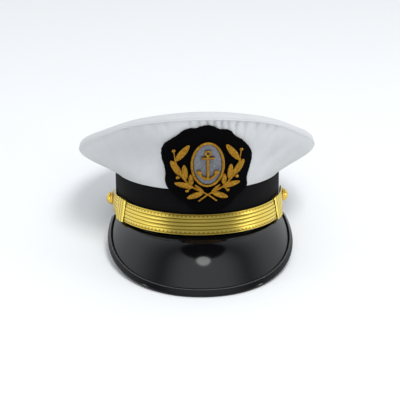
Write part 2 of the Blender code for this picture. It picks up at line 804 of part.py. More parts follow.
def stand_on_floor(home):
    """Tip the frame back, press the two rests flat and centre the cap over the origin."""
    frame = home["frame"]
    tilt = rest_tilt()
    frame.rotation_euler = (-tilt, 0, 0)
    frame.location = (0, 0, BAND_HALF_LENGTH * math.sin(tilt) - REST_FLAT)
    bpy.context.view_layer.update()
    depsgraph = bpy.context.evaluated_depsgraph_get()
    reaches = []
    for piece in home["pieces"].objects:
        if piece.type == "MESH":
            shape = piece.evaluated_get(depsgraph)
            reaches += [(shape.matrix_world @ vertex.co).y for vertex in shape.data.vertices]
    frame.location.y = -(min(reaches) + max(reaches)) / 2
    bpy.context.view_layer.update()


def floor_cutter(home):
    """A slab under the plane that the cap rests on."""
    size = 4 * RIM_HALF_LENGTH
    thickness = 10 * BINDING_WALL
    mesh = bpy.data.meshes.new("floor_slab")
    bm = bmesh.new()
    matrix = Matrix.Translation((0, 0, -thickness / 2)) @ Matrix.Diagonal((size, size, thickness, 1))
    bmesh.ops.create_cube(bm, size=1.0, matrix=matrix)
    bm.to_mesh(mesh)
    bm.free()
    return add_cutter("floor_slab", mesh, home, in_band_frame=False)


def build_cap():
    clear_scene()
    home = {
        "pieces": make_collection("peaked_officer_cap"),
        "cutters": make_collection("cutters"),
        "frame": bpy.data.objects.new("band_frame", None),
    }
    home["pieces"].objects.link(home["frame"])

    white = make_material("white_cloth", (0.85, 0.86, 0.88), 0.75)
    black = make_material("black_ribbon", (0.012, 0.012, 0.014), 0.8)
    patent = make_material("black_patent", (0.01, 0.01, 0.012), 0.12)
    lace = make_material("gold_lace", (0.80, 0.62, 0.10), 0.4, 0.6)
    gilt = make_material("gilt_metal", (0.85, 0.62, 0.18), 0.2, 1.0)
    felt = make_material("black_felt", (0.008, 0.008, 0.009), 0.95)
    silver = make_material("silver_thread", (0.45, 0.46, 0.48), 0.5, 0.5)
    bullion = make_material("gold_bullion", (0.60, 0.38, 0.05), 0.4, 0.8)

    make_crown_side(home, white)
    make_crown_top(home, white)
    make_rim_welt(home, white)
    band = make_band(home, black)
    make_peak(home, patent)
    binding = make_peak_binding(home, patent)
    strap = make_chin_strap(home, lace)
    make_slider(home, lace, "slider_left", -1)
    make_slider(home, lace, "slider_right", 1)
    make_button(home, gilt, "button_left", -1)
    make_button(home, gilt, "button_right", 1)
    for side in (-1, 1):
        cutter = shank_cutter(home, side)
        for holed in (band, strap):
            cut(holed, cutter, cutter.name)
    make_badge_backing(home, felt)
    make_badge_field(home, silver)
    make_badge_ring(home, bullion)
    make_badge_wreath(home, bullion)
    make_badge_anchor(home, bullion)
    stand_on_floor(home)
    slab = floor_cutter(home)
    cut(band, slab, "flat_back")
    cut(binding, slab, "flat_front")


build_cap()
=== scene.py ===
# %% [markdown]
# # A peaked officer cap, piece by piece
#
# The cap has a white cloth crown that flares over a black ribbed band, a glossy peak with a sewn binding,
# a gold lace chin strap on two gilt buttons, and a badge worked in gold thread on black felt. Its solids
# are already built and fixed in one frame. This lesson dresses them: each surface is worked out with
# numpy, put where its solid is, and given the material that the real piece has.

# %% Load the frame
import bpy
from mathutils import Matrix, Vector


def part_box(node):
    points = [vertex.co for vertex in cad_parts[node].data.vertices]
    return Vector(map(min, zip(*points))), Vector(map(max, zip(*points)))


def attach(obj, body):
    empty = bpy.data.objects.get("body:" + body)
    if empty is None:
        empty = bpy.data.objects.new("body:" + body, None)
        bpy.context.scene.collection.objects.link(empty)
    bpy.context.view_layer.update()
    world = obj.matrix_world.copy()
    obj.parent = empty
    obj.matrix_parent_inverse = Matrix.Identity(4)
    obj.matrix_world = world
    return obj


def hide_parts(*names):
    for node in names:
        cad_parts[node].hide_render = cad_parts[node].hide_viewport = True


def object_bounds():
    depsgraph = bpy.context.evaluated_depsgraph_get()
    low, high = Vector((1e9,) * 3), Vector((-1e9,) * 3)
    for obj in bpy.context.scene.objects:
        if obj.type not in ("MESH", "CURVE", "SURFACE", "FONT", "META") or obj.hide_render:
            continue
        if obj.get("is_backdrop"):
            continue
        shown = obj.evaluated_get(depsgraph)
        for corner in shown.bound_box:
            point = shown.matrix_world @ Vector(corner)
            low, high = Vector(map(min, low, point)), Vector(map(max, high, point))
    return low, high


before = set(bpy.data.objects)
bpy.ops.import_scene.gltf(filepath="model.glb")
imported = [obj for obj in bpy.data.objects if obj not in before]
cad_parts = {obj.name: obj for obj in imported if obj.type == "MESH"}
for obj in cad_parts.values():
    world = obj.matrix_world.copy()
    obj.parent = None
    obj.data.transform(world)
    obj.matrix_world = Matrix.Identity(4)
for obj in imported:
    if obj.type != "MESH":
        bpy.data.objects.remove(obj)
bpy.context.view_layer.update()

import math
from collections import namedtuple

import bpy
import numpy as np
from mathutils import Matrix

# %% [markdown]
# ## The sizes that drive everything
#
# A cap maker works from the head: the band is an oval of fixed size, and the crown, the peak and the strap
# all follow it. So do the values here, in metres and in the band's own frame, where the band's lower edge
# is the plane z = 0 and the front of the cap points towards -Y.

# %% Sizes of the band, the crown and the peak
MM = 0.001
PIECE_GAP = 0.3 * MM
BAND_HALF_WIDTH = 86 * MM
BAND_HALF_LENGTH = 105 * MM
BAND_HEIGHT = 43 * MM
BAND_WALL = 2 * MM
CLOTH_WALL = 1.6 * MM
RIM_HALF_WIDTH = 122.5 * MM
RIM_HALF_LENGTH = 128.5 * MM
RIM_SET_BACK = 5.5 * MM
FRONT_RISE = 73 * MM
NECK_RISE = 1 * MM
ROLL_HEIGHT = 11 * MM
ROLL_DEPTH = 7 * MM
WELT_RADIUS = 0.9 * MM
WELT_PROUD = 0.5 * MM
PEAK_WALL = 1.8 * MM
PEAK_REACH = 65 * MM
PEAK_SPAN = math.radians(77)
PEAK_TAPER_SPAN = math.radians(86)
PEAK_TAPER_START = 2.35
PEAK_TAPER_END = 1.35
PEAK_FRONT_SLOPE = math.radians(52)
PEAK_CORNER_SLOPE = math.radians(42)
PEAK_BULGE = 7 * MM
PEAK_BULGE_LEAN = 0.5
BINDING_WIDTH = 8 * MM
BINDING_WALL = 1 * MM
REST_FLAT = 0.4 * MM
print("Head size round the band:", round(math.pi * (BAND_HALF_WIDTH + BAND_HALF_LENGTH), 3), "m")

# %% [markdown]
# ## Ovals and the table of the rim
#
# The rim is neither flat nor round: it stands high over the badge and sinks to the sides and the back. A
# short table gives its height, the height of its roll and how full the wall under it is, every 30 degrees
# from the front. Catmull-Rom curves run smoothly through such a table, and both sides share it.

# %% Ovals, normals and the rim's table
RimRow = namedtuple("RimRow", "angle seam_height roll_height fullness")
RIM_ROWS = (
    RimRow(angle=0, seam_height=1.00, roll_height=0.48, fullness=0.95),
    RimRow(angle=30, seam_height=0.90, roll_height=0.42, fullness=1.05),
    RimRow(angle=60, seam_height=0.575, roll_height=0.67, fullness=1.45),
    RimRow(angle=90, seam_height=0.27, roll_height=1.00, fullness=2.00),
    RimRow(angle=120, seam_height=0.225, roll_height=0.82, fullness=1.90),
    RimRow(angle=150, seam_height=0.25, roll_height=0.77, fullness=1.75),
    RimRow(angle=180, seam_height=0.28, roll_height=0.82, fullness=1.65),
)


def between(low, high, share):
    """low + (high - low) x share."""
    return low + (high - low) * share


def catmull_rom(before, start, end, after, share):
    """start + s/2 (pull + s (bend + s twist)): a cubic whose end slopes come from the neighbours."""
    pull = end - before
    bend = 2 * before - 5 * start + 4 * end - after
    twist = 3 * (start - end) + after - before
    return start + 0.5 * share * (pull + share * (bend + share * twist))


def turned_back(angle):
    """The same angle from -pi to pi."""
    return np.remainder(angle + math.pi, 2 * math.pi) - math.pi


def rim_value(column, angle):
    """A column of the rim's table at any angle, by a Catmull-Rom curve through the four nearest rows."""
    values = np.array([getattr(row, column) for row in RIM_ROWS])
    last = len(RIM_ROWS) - 1
    place = np.degrees(np.abs(turned_back(angle))) / RIM_ROWS[1].angle
    row = np.clip(place.astype(int), 0, last - 1)
    near = (np.abs(row - 1), row, row + 1, last - np.abs(last - row - 2))
    return catmull_rom(*[values[index] for index in near], place - row)


def oval(angle, half_width, half_length, height, set_back=0.0):
    """x = half width x sin(angle), y = set back - half length x cos(angle), z = height."""
    parts = np.broadcast_arrays(half_width * np.sin(angle), set_back - half_length * np.cos(angle), height)
    return np.stack(parts, axis=-1)


def band_normal(angle):
    """The band oval's outward normal: (sin / half width, -cos / half length, 0), made one long."""
    normal = oval(angle, 1 / BAND_HALF_WIDTH, 1 / BAND_HALF_LENGTH, 0.0)
    return normal / np.linalg.norm(normal, axis=-1, keepdims=True)


UP = np.array([0.0, 0.0, 1.0])

# %% [markdown]
# ## How the cap rests
#
# Put down on a table, the cap tips back until its peak's edge and the back of its band both touch. The
# peak's middle line gives that angle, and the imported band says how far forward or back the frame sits.


# %% The peak's middle line and the tilt
def peak_reach(angle):
    """reach x (1 - s ^ start) ^ end, where s is the angle's share of the span that tapers."""
    share = np.minimum(1.0, np.abs(angle) / PEAK_TAPER_SPAN)
    return PEAK_REACH * (1 - share ** PEAK_TAPER_START) ** PEAK_TAPER_END


def peak_axes(angle):
    """The root on the band, the way down the slope and the upper side's normal, at each angle."""
    share = np.abs(angle) / PEAK_TAPER_SPAN
    slope = between(PEAK_FRONT_SLOPE, PEAK_CORNER_SLOPE, share * share)[..., None]
    outwards = band_normal(angle)
    root = oval(angle, BAND_HALF_WIDTH, BAND_HALF_LENGTH, -PIECE_GAP) + outwards * PIECE_GAP
    return root, outwards * np.cos(slope) - UP * np.sin(slope), outwards * np.sin(slope) + UP * np.cos(slope)


BINDING_RADIUS = PEAK_WALL / 2 + PIECE_GAP + BINDING_WALL


def fold_centre(angle):
    """The middle of the binding's round edge: the root, and down the slope by the reach less the radius."""
    root, down, _ = peak_axes(angle)
    return root + down * (peak_reach(angle) - BINDING_RADIUS)[..., None]


def rest_tilt():
    """The slope of the line from the band's back to the fold, and the angle that the fold's radius adds."""
    front = fold_centre(np.zeros(1))[0]
    run = BAND_HALF_LENGTH - front[1]
    return math.atan2(-front[2], run) + math.asin(BINDING_RADIUS / math.hypot(run, front[2]))


TILT = rest_tilt()
band_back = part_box("band")[1].y
FRAME_Y = band_back - BAND_HALF_LENGTH * math.cos(TILT) - BAND_HEIGHT * math.sin(TILT)
FRAME_Z = BAND_HALF_LENGTH * math.sin(TILT) - REST_FLAT


def to_world(points):
    """Turns points of the band's frame back by the tilt, about X, and moves them to their place."""
    x, y, z = np.moveaxis(np.asarray(points, float), -1, 0)
    turned_y = y * math.cos(TILT) + z * math.sin(TILT) + FRAME_Y
    turned_z = z * math.cos(TILT) - y * math.sin(TILT) + FRAME_Z
    return np.stack([x, turned_y, turned_z], axis=-1)


print("The cap tips back by", round(math.degrees(TILT), 2), "degrees, with its frame at", FRAME_Y, FRAME_Z)

# %% [markdown]
# ## Camera, floor and light
#
# The photograph is taken from a little above and a little to one side, with a long lens. The view comes
# first, because it says which surfaces need care. The camera's three axes are worked out in the band's
# frame: back points to the lens, right and up span the picture. A small shift frames the cap as the
# photograph does. A tent of white cloth lights it softly from all sides, and four lamps add a key light, a
# catch light and a glint from each side. The glossy peak mirrors that tent, so the tent has what the peak
# shows: a dimmer open front with a broad window in it, and a small dark hole in the roof.

# %% The camera
PICTURE_PIXELS = 400
SENSOR = 36.0
CAMERA_DISTANCE = 1.2
CAMERA_AZIMUTH = math.radians(-3.0)
CAMERA_ELEVATION = math.radians(14.9)
CAMERA_ROLL = math.radians(-0.4)
FOCAL_PIXELS = 1126
CENTRE_COLUMN = 197.3
CENTRE_ROW = 205.7


def camera_axes():
    """back = (sin a cos e, -cos a cos e, sin e), right = (cos a, sin a, 0) and up = back x right.

    Right and up are then turned by the roll.
    """
    sine, cosine = math.sin(CAMERA_AZIMUTH), math.cos(CAMERA_AZIMUTH)
    flat = math.cos(CAMERA_ELEVATION)
    back = np.array([sine * flat, -cosine * flat, math.sin(CAMERA_ELEVATION)])
    right = np.array([cosine, sine, 0.0])
    up = np.cross(back, right)
    roll_cosine, roll_sine = math.cos(CAMERA_ROLL), math.sin(CAMERA_ROLL)
    return roll_cosine * right + roll_sine * up, roll_cosine * up - roll_sine * right, back


def add_camera():
    """The camera's matrix has right, up and back as its columns, and it stands off along back."""
    axes = np.array(camera_axes())
    origin = to_world(np.zeros(3))
    turned = to_world(axes) - origin
    camera = bpy.data.cameras.new("photo_view")
    camera.sensor_width = SENSOR
    camera.lens = SENSOR * FOCAL_PIXELS / PICTURE_PIXELS
    camera.shift_x = 0.5 - CENTRE_COLUMN / PICTURE_PIXELS
    camera.shift_y = CENTRE_ROW / PICTURE_PIXELS - 0.5
    view = bpy.data.objects.new("photo_view", camera)
    bpy.context.scene.collection.objects.link(view)
    matrix = Matrix.Identity(4)
    for column, axis in enumerate(turned):
        for row in range(3):
            matrix[row][column] = axis[row]
    matrix.translation = origin + turned[2] * CAMERA_DISTANCE
    view.matrix_world = matrix
    bpy.context.scene.camera = view
    return view


camera_view = add_camera()
print("Camera at", np.round(camera_view.location, 3), "with a", round(camera_view.data.lens, 1), "mm lens")


# %% Colours and nodes
def linear(hex_colour):
    """sRGB to linear light: c / 12.92 up to 0.04045, and ((c + 0.055) / 1.055) ^ 2.4 above it."""
    share = np.array([int(hex_colour[start:start + 2], 16) for start in (1, 3, 5)]) / 255
    light = np.where(share <= 0.04045, share / 12.92, ((share + 0.055) / 1.055) ** 2.4)
    return (*light.tolist(), 1.0)


def add_node(tree, kind, settings=None, inputs=None):
    """Adds one node. An input is a plain value, or another node's output to link."""
    node = tree.nodes.new("ShaderNode" + kind)
    for name, value in (settings or {}).items():
        setattr(node, name, value)
    for name, value in (inputs or {}).items():
        if isinstance(value, bpy.types.NodeSocket):
            tree.links.new(value, node.inputs[name])
        else:
            node.inputs[name].default_value = value
    return node


def finish_material(name, shader_values):
    """A new material whose Principled shader takes these plain values, and its node tree."""
    material = bpy.data.materials.new(name)
    material.use_nodes = True
    shader = material.node_tree.nodes["Principled BSDF"]
    for socket, value in shader_values.items():
        shader.inputs[socket].default_value = value
    return material, material.node_tree, shader


def stripes(tree, place, across, pitch):
    """A sine that goes from -1 to 1 and back once every pitch, along the direction across."""
    wave = [2 * math.pi / pitch * part for part in across]
    phase = add_node(tree, "VectorMath", {"operation": "DOT_PRODUCT"}, {0: place, 1: wave})
    return add_node(tree, "Math", {"operation": "SINE"}, {0: phase.outputs["Value"]}).outputs[0]


# %% The floor, the lamps and the light tent
FLOOR_SIZE = 8.0
FLOOR_DROP = 0.2 * MM
Lamp = namedtuple("Lamp", "name x y z wide deep watts mirrored")
LAMPS = (
    Lamp(name="catch_light", x=0.05, y=-0.98, z=1.4, wide=0.42, deep=0.42, watts=1.9, mirrored=True),
    Lamp(name="key_light", x=0.35, y=-0.8, z=1.95, wide=0.7, deep=0.7, watts=19, mirrored=False),
    Lamp(name="low_left", x=-1.5, y=-0.7, z=0.35, wide=0.2, deep=0.2, watts=2.4, mirrored=True),
    Lamp(name="low_right", x=1.5, y=-0.7, z=0.35, wide=0.2, deep=0.2, watts=3.4, mirrored=True),
)
TENT_WHITE = "#F6F8FA"
Glow = namedtuple("Glow", "towards edge middle outside inside")
OPENING = Glow(towards=(0.0, -0.72, 0.69), edge=0.1, middle=0.85, outside=1.1, inside=0.2)
WINDOW = Glow(towards=(0.05, -0.76, 0.65), edge=0.62, middle=0.985, outside=0.0, inside=1.0)
ROOF_HOLE = Glow(towards=(0.04, -0.17, 0.985), edge=0.925, middle=0.95, outside=1.0, inside=0.02)


def add_floor():
    """One large square just under the cap, painted in matt white."""
    half = FLOOR_SIZE / 2
    corners = [(x, y, -FLOOR_DROP) for x, y in ((-half, -half), (half, -half), (half, half), (-half, half))]
    mesh = bpy.data.meshes.new("floor")
    mesh.from_pydata(corners, [], [(0, 1, 2, 3)])
    floor = bpy.data.objects.new("floor", mesh)
    bpy.context.scene.collection.objects.link(floor)
    paint, _, _ = finish_material("matt_white_paint", {"Base Color": linear("#F3F5F7"), "Roughness": 0.9})
    mesh.materials.append(paint)
    floor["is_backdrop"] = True


def add_lamp(row):
    """A round soft lamp that faces the cap. A key that isn't mirrored keeps the peak's picture clean."""
    light = bpy.data.lights.new(row.name, "AREA")
    light.shape = "ELLIPSE"
    light.size = row.wide
    light.size_y = row.deep
    light.energy = row.watts
    lamp = bpy.data.objects.new(row.name, light)
    bpy.context.scene.collection.objects.link(lamp)
    lamp.location = (row.x, row.y, row.z)
    aim = -lamp.location.copy()
    lamp.rotation_euler = aim.to_track_quat("-Z", "Y").to_euler()
    lamp.visible_glossy = row.mirrored


def soft_cone(tree, glow):
    """Light that goes smoothly from outside to inside, by the cosine of the angle from the axis."""
    direction = add_node(tree, "TexCoord").outputs["Generated"]
    near = add_node(tree, "VectorMath", {"operation": "DOT_PRODUCT"}, {0: direction, 1: glow.towards})
    return add_node(tree, "MapRange", {"interpolation_type": "SMOOTHSTEP"}, {
        "Value": near.outputs["Value"], "From Min": glow.edge, "From Max": glow.middle,
        "To Min": glow.outside, "To Max": glow.inside}).outputs[0]


def light_tent():
    """The opening's light plus the window's, times the share that the roof's hole leaves."""
    world = bpy.data.worlds.new("light_tent")
    world.use_nodes = True
    tree = world.node_tree
    front = soft_cone(tree, OPENING)
    roof = soft_cone(tree, ROOF_HOLE)
    window = soft_cone(tree, WINDOW)
    lit = add_node(tree, "Math", {"operation": "ADD"}, {0: front, 1: window})
    light = add_node(tree, "Math", {"operation": "MULTIPLY"}, {0: lit.outputs[0], 1: roof})
    background = tree.nodes["Background"]
    background.inputs["Color"].default_value = linear(TENT_WHITE)
    tree.links.new(light.outputs[0], background.inputs["Strength"])
    return world


add_floor()
for row in LAMPS:
    add_lamp(row)
bpy.context.scene.world = light_tent()
bpy.context.scene.view_settings.view_transform = "Standard"
print("Lamps:", [row.name for row in LAMPS])

# %% [markdown]
# ## From arrays to meshes
#
# Every surface below is a grid of points with rows and columns. Neighbours make four-sided faces. A grid can
# close round on itself along its rows or its columns, and the ends of a tube are closed with a fan. Many
# like shapes, such as stitches, go into one mesh as a stack of grids. A pattern array gives each point its
# place in metres on the unrolled piece, so that a weave keeps its real size.


# %% Grids of points into meshes
def grid_corners(rows, columns, wrap_rows, wrap_columns):
    """The row and the column numbers of every face's four corners, which run past the end where it wraps."""
    row, column = (part.ravel() for part in np.indices((rows - 1 + wrap_rows, columns - 1 + wrap_columns)))
    corner_row = np.stack([row, row, row + 1, row + 1], axis=1)
    corner_column = np.stack([column, column + 1, column + 1, column], axis=1)
    return corner_row, corner_column


def fan_corners(rows, columns, ends):
    """Triangles from each end's row to its middle point, which comes after the grid's own points."""
    step = np.arange(columns)
    after = (step + 1) % columns
    middle = rows * columns + np.arange(2)
    first = np.stack([after, step, np.full(columns, middle[0])], axis=1)
    last = np.stack([step, after, np.full(columns, middle[1])], axis=1)
    last[:, :2] += (rows - 1) * columns
    return [fan for fan, wanted in ((first, "first" in ends), (last, "last" in ends)) if wanted]


def signed_volume(points, faces):
    """A sixth of the sum of corner . (corner x corner) over the faces, for each grid of a stack."""
    first, second, third = (points[:, faces[:, index]] for index in range(3))
    volume = np.einsum("nij,nij->n", first, np.cross(second, third))
    if faces.shape[1] == 4:
        volume = volume + signed_volume(points, faces[:, [0, 2, 3]])
    return volume


def write_mesh(name, points, face_kinds, inside_out):
    """All grids' points and faces in one mesh. A grid that is inside out gets its faces' corners reversed."""
    count, size, _ = points.shape
    loops, sizes = [], []
    for faces in face_kinds:
        shifted = faces[None] + (np.arange(count) * size)[:, None, None]
        shifted = np.where(inside_out[:, None, None], shifted[..., ::-1], shifted).reshape(-1, faces.shape[1])
        loops.append(shifted.ravel())
        sizes.append(np.full(len(shifted), faces.shape[1]))
    corners, sizes = np.concatenate(loops), np.concatenate(sizes)
    mesh = bpy.data.meshes.new(name)
    mesh.vertices.add(count * size)
    mesh.vertices.foreach_set("co", to_world(points).astype(np.float32).ravel())
    mesh.loops.add(len(corners))
    mesh.loops.foreach_set("vertex_index", corners.astype(np.int32))
    mesh.polygons.add(len(sizes))
    mesh.polygons.foreach_set("loop_start", np.concatenate([[0], np.cumsum(sizes)[:-1]]).astype(np.int32))
    mesh.update(calc_edges=True)
    return mesh


def paint_pattern(mesh, pattern, corner_row, corner_column, inside_out):
    """Writes the unrolled places, in metres, to the corners of the grids' faces as a UV map."""
    places = np.broadcast_to(pattern, (len(inside_out), *pattern.shape[-3:]))
    found = places[:, corner_row, corner_column]
    found = np.where(inside_out[:, None, None, None], found[:, :, ::-1], found).reshape(-1, 2)
    spread = np.zeros((len(mesh.loops), 2), np.float32)
    spread[:len(found)] = found
    layer = mesh.uv_layers.new(name="pattern")
    layer.data.foreach_set("uv", spread.ravel())


def make_surface(name, points, pattern=None, wrap_rows=False, wrap_columns=False, ends=()):
    """A mesh object from one grid (rows, columns, 3) or a stack of them (count, rows, columns, 3)."""
    stack = points if points.ndim == 4 else points[None]
    count, rows, columns, _ = stack.shape
    corner_row, corner_column = grid_corners(rows, columns, wrap_rows, wrap_columns)
    squares = (corner_row % rows) * columns + corner_column % columns
    every = stack.reshape(count, -1, 3)
    if ends:
        middles = np.stack([stack[:, 0].mean(axis=1), stack[:, -1].mean(axis=1)], axis=1)
        every = np.concatenate([every, middles], axis=1)
    fans = fan_corners(rows, columns, ends)
    closed = bool(ends) or (wrap_rows and wrap_columns)
    volume = signed_volume(every, squares) + sum(signed_volume(every, fan) for fan in fans)
    inside_out = (volume < 0) & closed
    mesh = write_mesh(name, every, [squares] + fans, inside_out)
    if pattern is not None:
        paint_pattern(mesh, pattern, corner_row, corner_column, inside_out)
    if mesh.validate():
        print("A face of", name, "was mended")
    mesh.shade_smooth()
    piece = bpy.data.objects.new(name, mesh)
    bpy.context.scene.collection.objects.link(piece)
    return piece


def dress(piece, material, slot, *nodes):
    """Gives a piece its material, lets it ride on the cap and hides the solids it stands for."""
    piece.data.materials.append(material)
    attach(piece, "root")
    if nodes:
        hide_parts(*nodes)
    print(piece.name, "has", len(piece.data.polygons), "faces")
    return piece


def thicken(piece, thickness):
    """Half of the wall's thickness goes to each side of the surface."""
    wall = piece.modifiers.new("wall", "SOLIDIFY")
    wall.thickness = thickness
    wall.offset = 0.0
    wall.use_even_offset = True


def unrolled(points, wrap_columns=False, wrap_rows=False):
    """Each point's place on the unrolled grid: lengths along the middle row and along the columns."""
    rows, columns, _ = points.shape
    middle = points[rows // 2]
    line = np.concatenate([middle, middle[:1]]) if wrap_columns else middle
    along = np.concatenate([[0], np.cumsum(np.linalg.norm(np.diff(line, axis=0), axis=1))])
    rise = np.concatenate([points, points[:1]]) if wrap_rows else points
    steps = np.linalg.norm(np.diff(rise, axis=0), axis=2).mean(axis=1)
    up = np.concatenate([[0], np.cumsum(steps)])
    return np.stack(np.meshgrid(along, up), axis=-1)


# %% [markdown]
# ## The white crown
#
# The crown's side and top are two pieces of white cotton drill, a smooth, close twill, sewn together at the
# rim over a springy hoop. Cloth held like this doesn't hang, it is stretched, so a simulation would find what
# a formula gives at once: the wall runs from the band's oval to the rim's, bowed by its fullness. Soft folds
# cross it where it is slack, and small gathers pull in under the seam. The top is a stretched skin, which
# settles like a soap film: its height is the rim's sum of cosines, each fading inwards by its order.

# %% The crown's wall
Fold = namedtuple("Fold", "angle height slant width depth")
FOLDS = (
    Fold(angle=45, height=0.62, slant=14, width=5.0, depth=0.032),
    Fold(angle=56, height=0.60, slant=12, width=5.0, depth=0.026),
    Fold(angle=34, height=0.55, slant=10, width=6.0, depth=-0.016),
    Fold(angle=-50, height=0.55, slant=-12, width=7.0, depth=0.026),
    Fold(angle=-35, height=0.50, slant=0, width=13.0, depth=0.13),
    Fold(angle=32, height=0.50, slant=0, width=14.0, depth=0.04),
    Fold(angle=118, height=0.50, slant=10, width=7.0, depth=0.014),
    Fold(angle=-125, height=0.50, slant=-8, width=8.0, depth=0.016),
    Fold(angle=165, height=0.50, slant=6, width=7.0, depth=0.012),
)
# A gather's angle and width are in degrees, its length and depth in millimetres.
Gather = namedtuple("Gather", "angle width length depth")
GATHERS = (
    Gather(angle=-36.0, width=2.0, length=5.0, depth=1.4),
    Gather(angle=-29.5, width=1.6, length=5.0, depth=1.6),
    Gather(angle=-23.0, width=1.4, length=4.4, depth=1.5),
    Gather(angle=-17.0, width=1.2, length=3.8, depth=1.3),
    Gather(angle=-6.5, width=0.9, length=3.2, depth=1.2),
    Gather(angle=-2.0, width=0.8, length=3.4, depth=1.5),
    Gather(angle=1.7, width=0.75, length=3.6, depth=1.8),
    Gather(angle=4.9, width=0.75, length=3.8, depth=2.0),
    Gather(angle=8.3, width=0.8, length=4.2, depth=2.2),
    Gather(angle=11.4, width=0.8, length=3.8, depth=2.0),
    Gather(angle=15.2, width=0.9, length=4.6, depth=2.5),
    Gather(angle=19.5, width=1.0, length=5.0, depth=2.4),
    Gather(angle=25.2, width=1.0, length=4.8, depth=2.2),
    Gather(angle=30.7, width=1.2, length=4.6, depth=2.0),
    Gather(angle=35.9, width=1.3, length=5.2, depth=1.8),
)
NECK_HEIGHT = BAND_HEIGHT + PIECE_GAP + NECK_RISE
WELT_STEP = 0.7 * WELT_RADIUS


def seam_height(angle):
    """The band's height plus the front's rise x the table's share."""
    return BAND_HEIGHT + FRONT_RISE * rim_value("seam_height", angle)


def wall_point(angle, height, start_width, start_length):
    """From the neck's oval to the rim's by 1 - (1 - height) ^ fullness, while z rises in step with height."""
    angle, height = np.broadcast_arrays(angle, height)
    spread = (1 - np.maximum(0.0, 1 - height) ** rim_value("fullness", angle))[..., None]
    low = oval(angle, start_width, start_length, NECK_HEIGHT)
    high = oval(angle, RIM_HALF_WIDTH, RIM_HALF_LENGTH, seam_height(angle), RIM_SET_BACK)
    point = between(low, high, spread)
    point[..., 2] = between(low[..., 2], high[..., 2], height)
    return point


def fold_depth(angle, height):
    """The folds' depths: each a bell across a slanted line, times sin squared of the height."""
    depth = 0.0
    for fold in FOLDS:
        middle = fold.angle + fold.slant * (height - fold.height)
        away = np.degrees(turned_back(angle - np.radians(middle))) / fold.width
        depth = depth + fold.depth * FRONT_RISE * np.exp(-away * away)
    return depth * np.sin(math.pi * height) ** 2


def gather_depth(angle, height):
    """Each gather is a bell across, times d e^(1 - d) down the wall, with d the drop in gather lengths."""
    drop = (1 - height) * (seam_height(angle) - NECK_HEIGHT)
    depth = 0.0
    for gather in GATHERS:
        away = np.degrees(turned_back(angle - math.radians(gather.angle))) / gather.width
        fall = drop / (gather.length * MM)
        depth = depth + gather.depth * MM * np.exp(-away * away) * fall * np.exp(1 - fall)
    return depth


def crown_wall(angle, height):
    """The middle of the wall's cloth, drawn in by its folds and gathers."""
    inset = BAND_WALL / 2
    point = wall_point(angle, height, BAND_HALF_WIDTH - inset, BAND_HALF_LENGTH - inset)
    inwards = fold_depth(angle, height) + gather_depth(angle, height)
    return point - band_normal(angle) * inwards[..., None]


def ring_angles(columns):
    """Even angles once round, without the last one, which is the first again."""
    return np.arange(columns) * 2 * math.pi / columns


CROWN_COLUMNS = 400
SIDE_COLUMNS = 560
CROWN_ROWS = 60


def crown_side_grid():
    """A short neck and then the wall. Its grid is closer near the seam, and in front, by t - 0.5 sin t."""
    turn = ring_angles(SIDE_COLUMNS)[None]
    angle = turn - 0.5 * np.sin(turn)
    height = (1 - (1 - np.linspace(0, 1, CROWN_ROWS)) ** 1.4)[:, None]
    slope = np.linalg.norm(crown_wall(angle, np.ones(1)) - crown_wall(angle, np.full(1, 0.98)), axis=-1)
    edge = 1.0 - 0.02 * WELT_STEP / slope
    wall = crown_wall(angle, height * edge)
    foot = wall[:1].copy()
    foot[..., 2] = BAND_HEIGHT + PIECE_GAP
    return np.concatenate([foot, wall])


crown_side_points = crown_side_grid()
crown_side_pattern = unrolled(crown_side_points, True)
crown_side = make_surface("white_crown_side", crown_side_points, crown_side_pattern, wrap_columns=True)
thicken(crown_side, CLOTH_WALL)


# %% The rolled rim and the top
def roll_point(angle, turn):
    """seam - normal x depth (1 - cos turn) + up x rise sin turn, for a quarter turn up to the crest."""
    seam = oval(angle, RIM_HALF_WIDTH, RIM_HALF_LENGTH, seam_height(angle), RIM_SET_BACK)
    rise = ROLL_HEIGHT * rim_value("roll_height", angle)
    inward = (ROLL_DEPTH * (1 - np.cos(turn)))[..., None]
    return seam - band_normal(angle) * inward + UP * (rise * np.sin(turn))[..., None]


def top_grid(roll_rows=14, top_rows=44, waves=5):
    """The roll's rows and then the film's: height = the sum of size x share ^ order x cos(order x angle)."""
    angle = ring_angles(CROWN_COLUMNS)
    first = WELT_STEP / (ROLL_HEIGHT * rim_value("roll_height", angle))
    turn = between(first, math.pi / 2, np.linspace(0, 1, roll_rows)[:, None])
    roll = roll_point(angle[None], turn)
    crest = roll[-1]
    orders = np.arange(waves)[:, None]
    cosines = np.cos(orders * angle)
    sizes = (crest[:, 2] * cosines).mean(axis=1) * np.where(orders[:, 0] > 0, 2, 1)
    share = np.linspace(1, 0, top_rows + 1)[1:-1, None]
    skin = np.array([0, RIM_SET_BACK, 0]) + (crest - np.array([0, RIM_SET_BACK, 0])) * share[..., None]
    film = np.einsum("w,wr,wc->rc", sizes, share[:, 0] ** orders, cosines)
    rim_film = sizes @ cosines
    skin[..., 2] = film + (crest[:, 2] - rim_film) * share ** waves
    return np.concatenate([roll, skin])


top_points = top_grid()
crown_top = make_surface("white_crown_top", top_points, unrolled(top_points, True),
                         wrap_columns=True, ends=("last",))
thicken(crown_top, CLOTH_WALL)


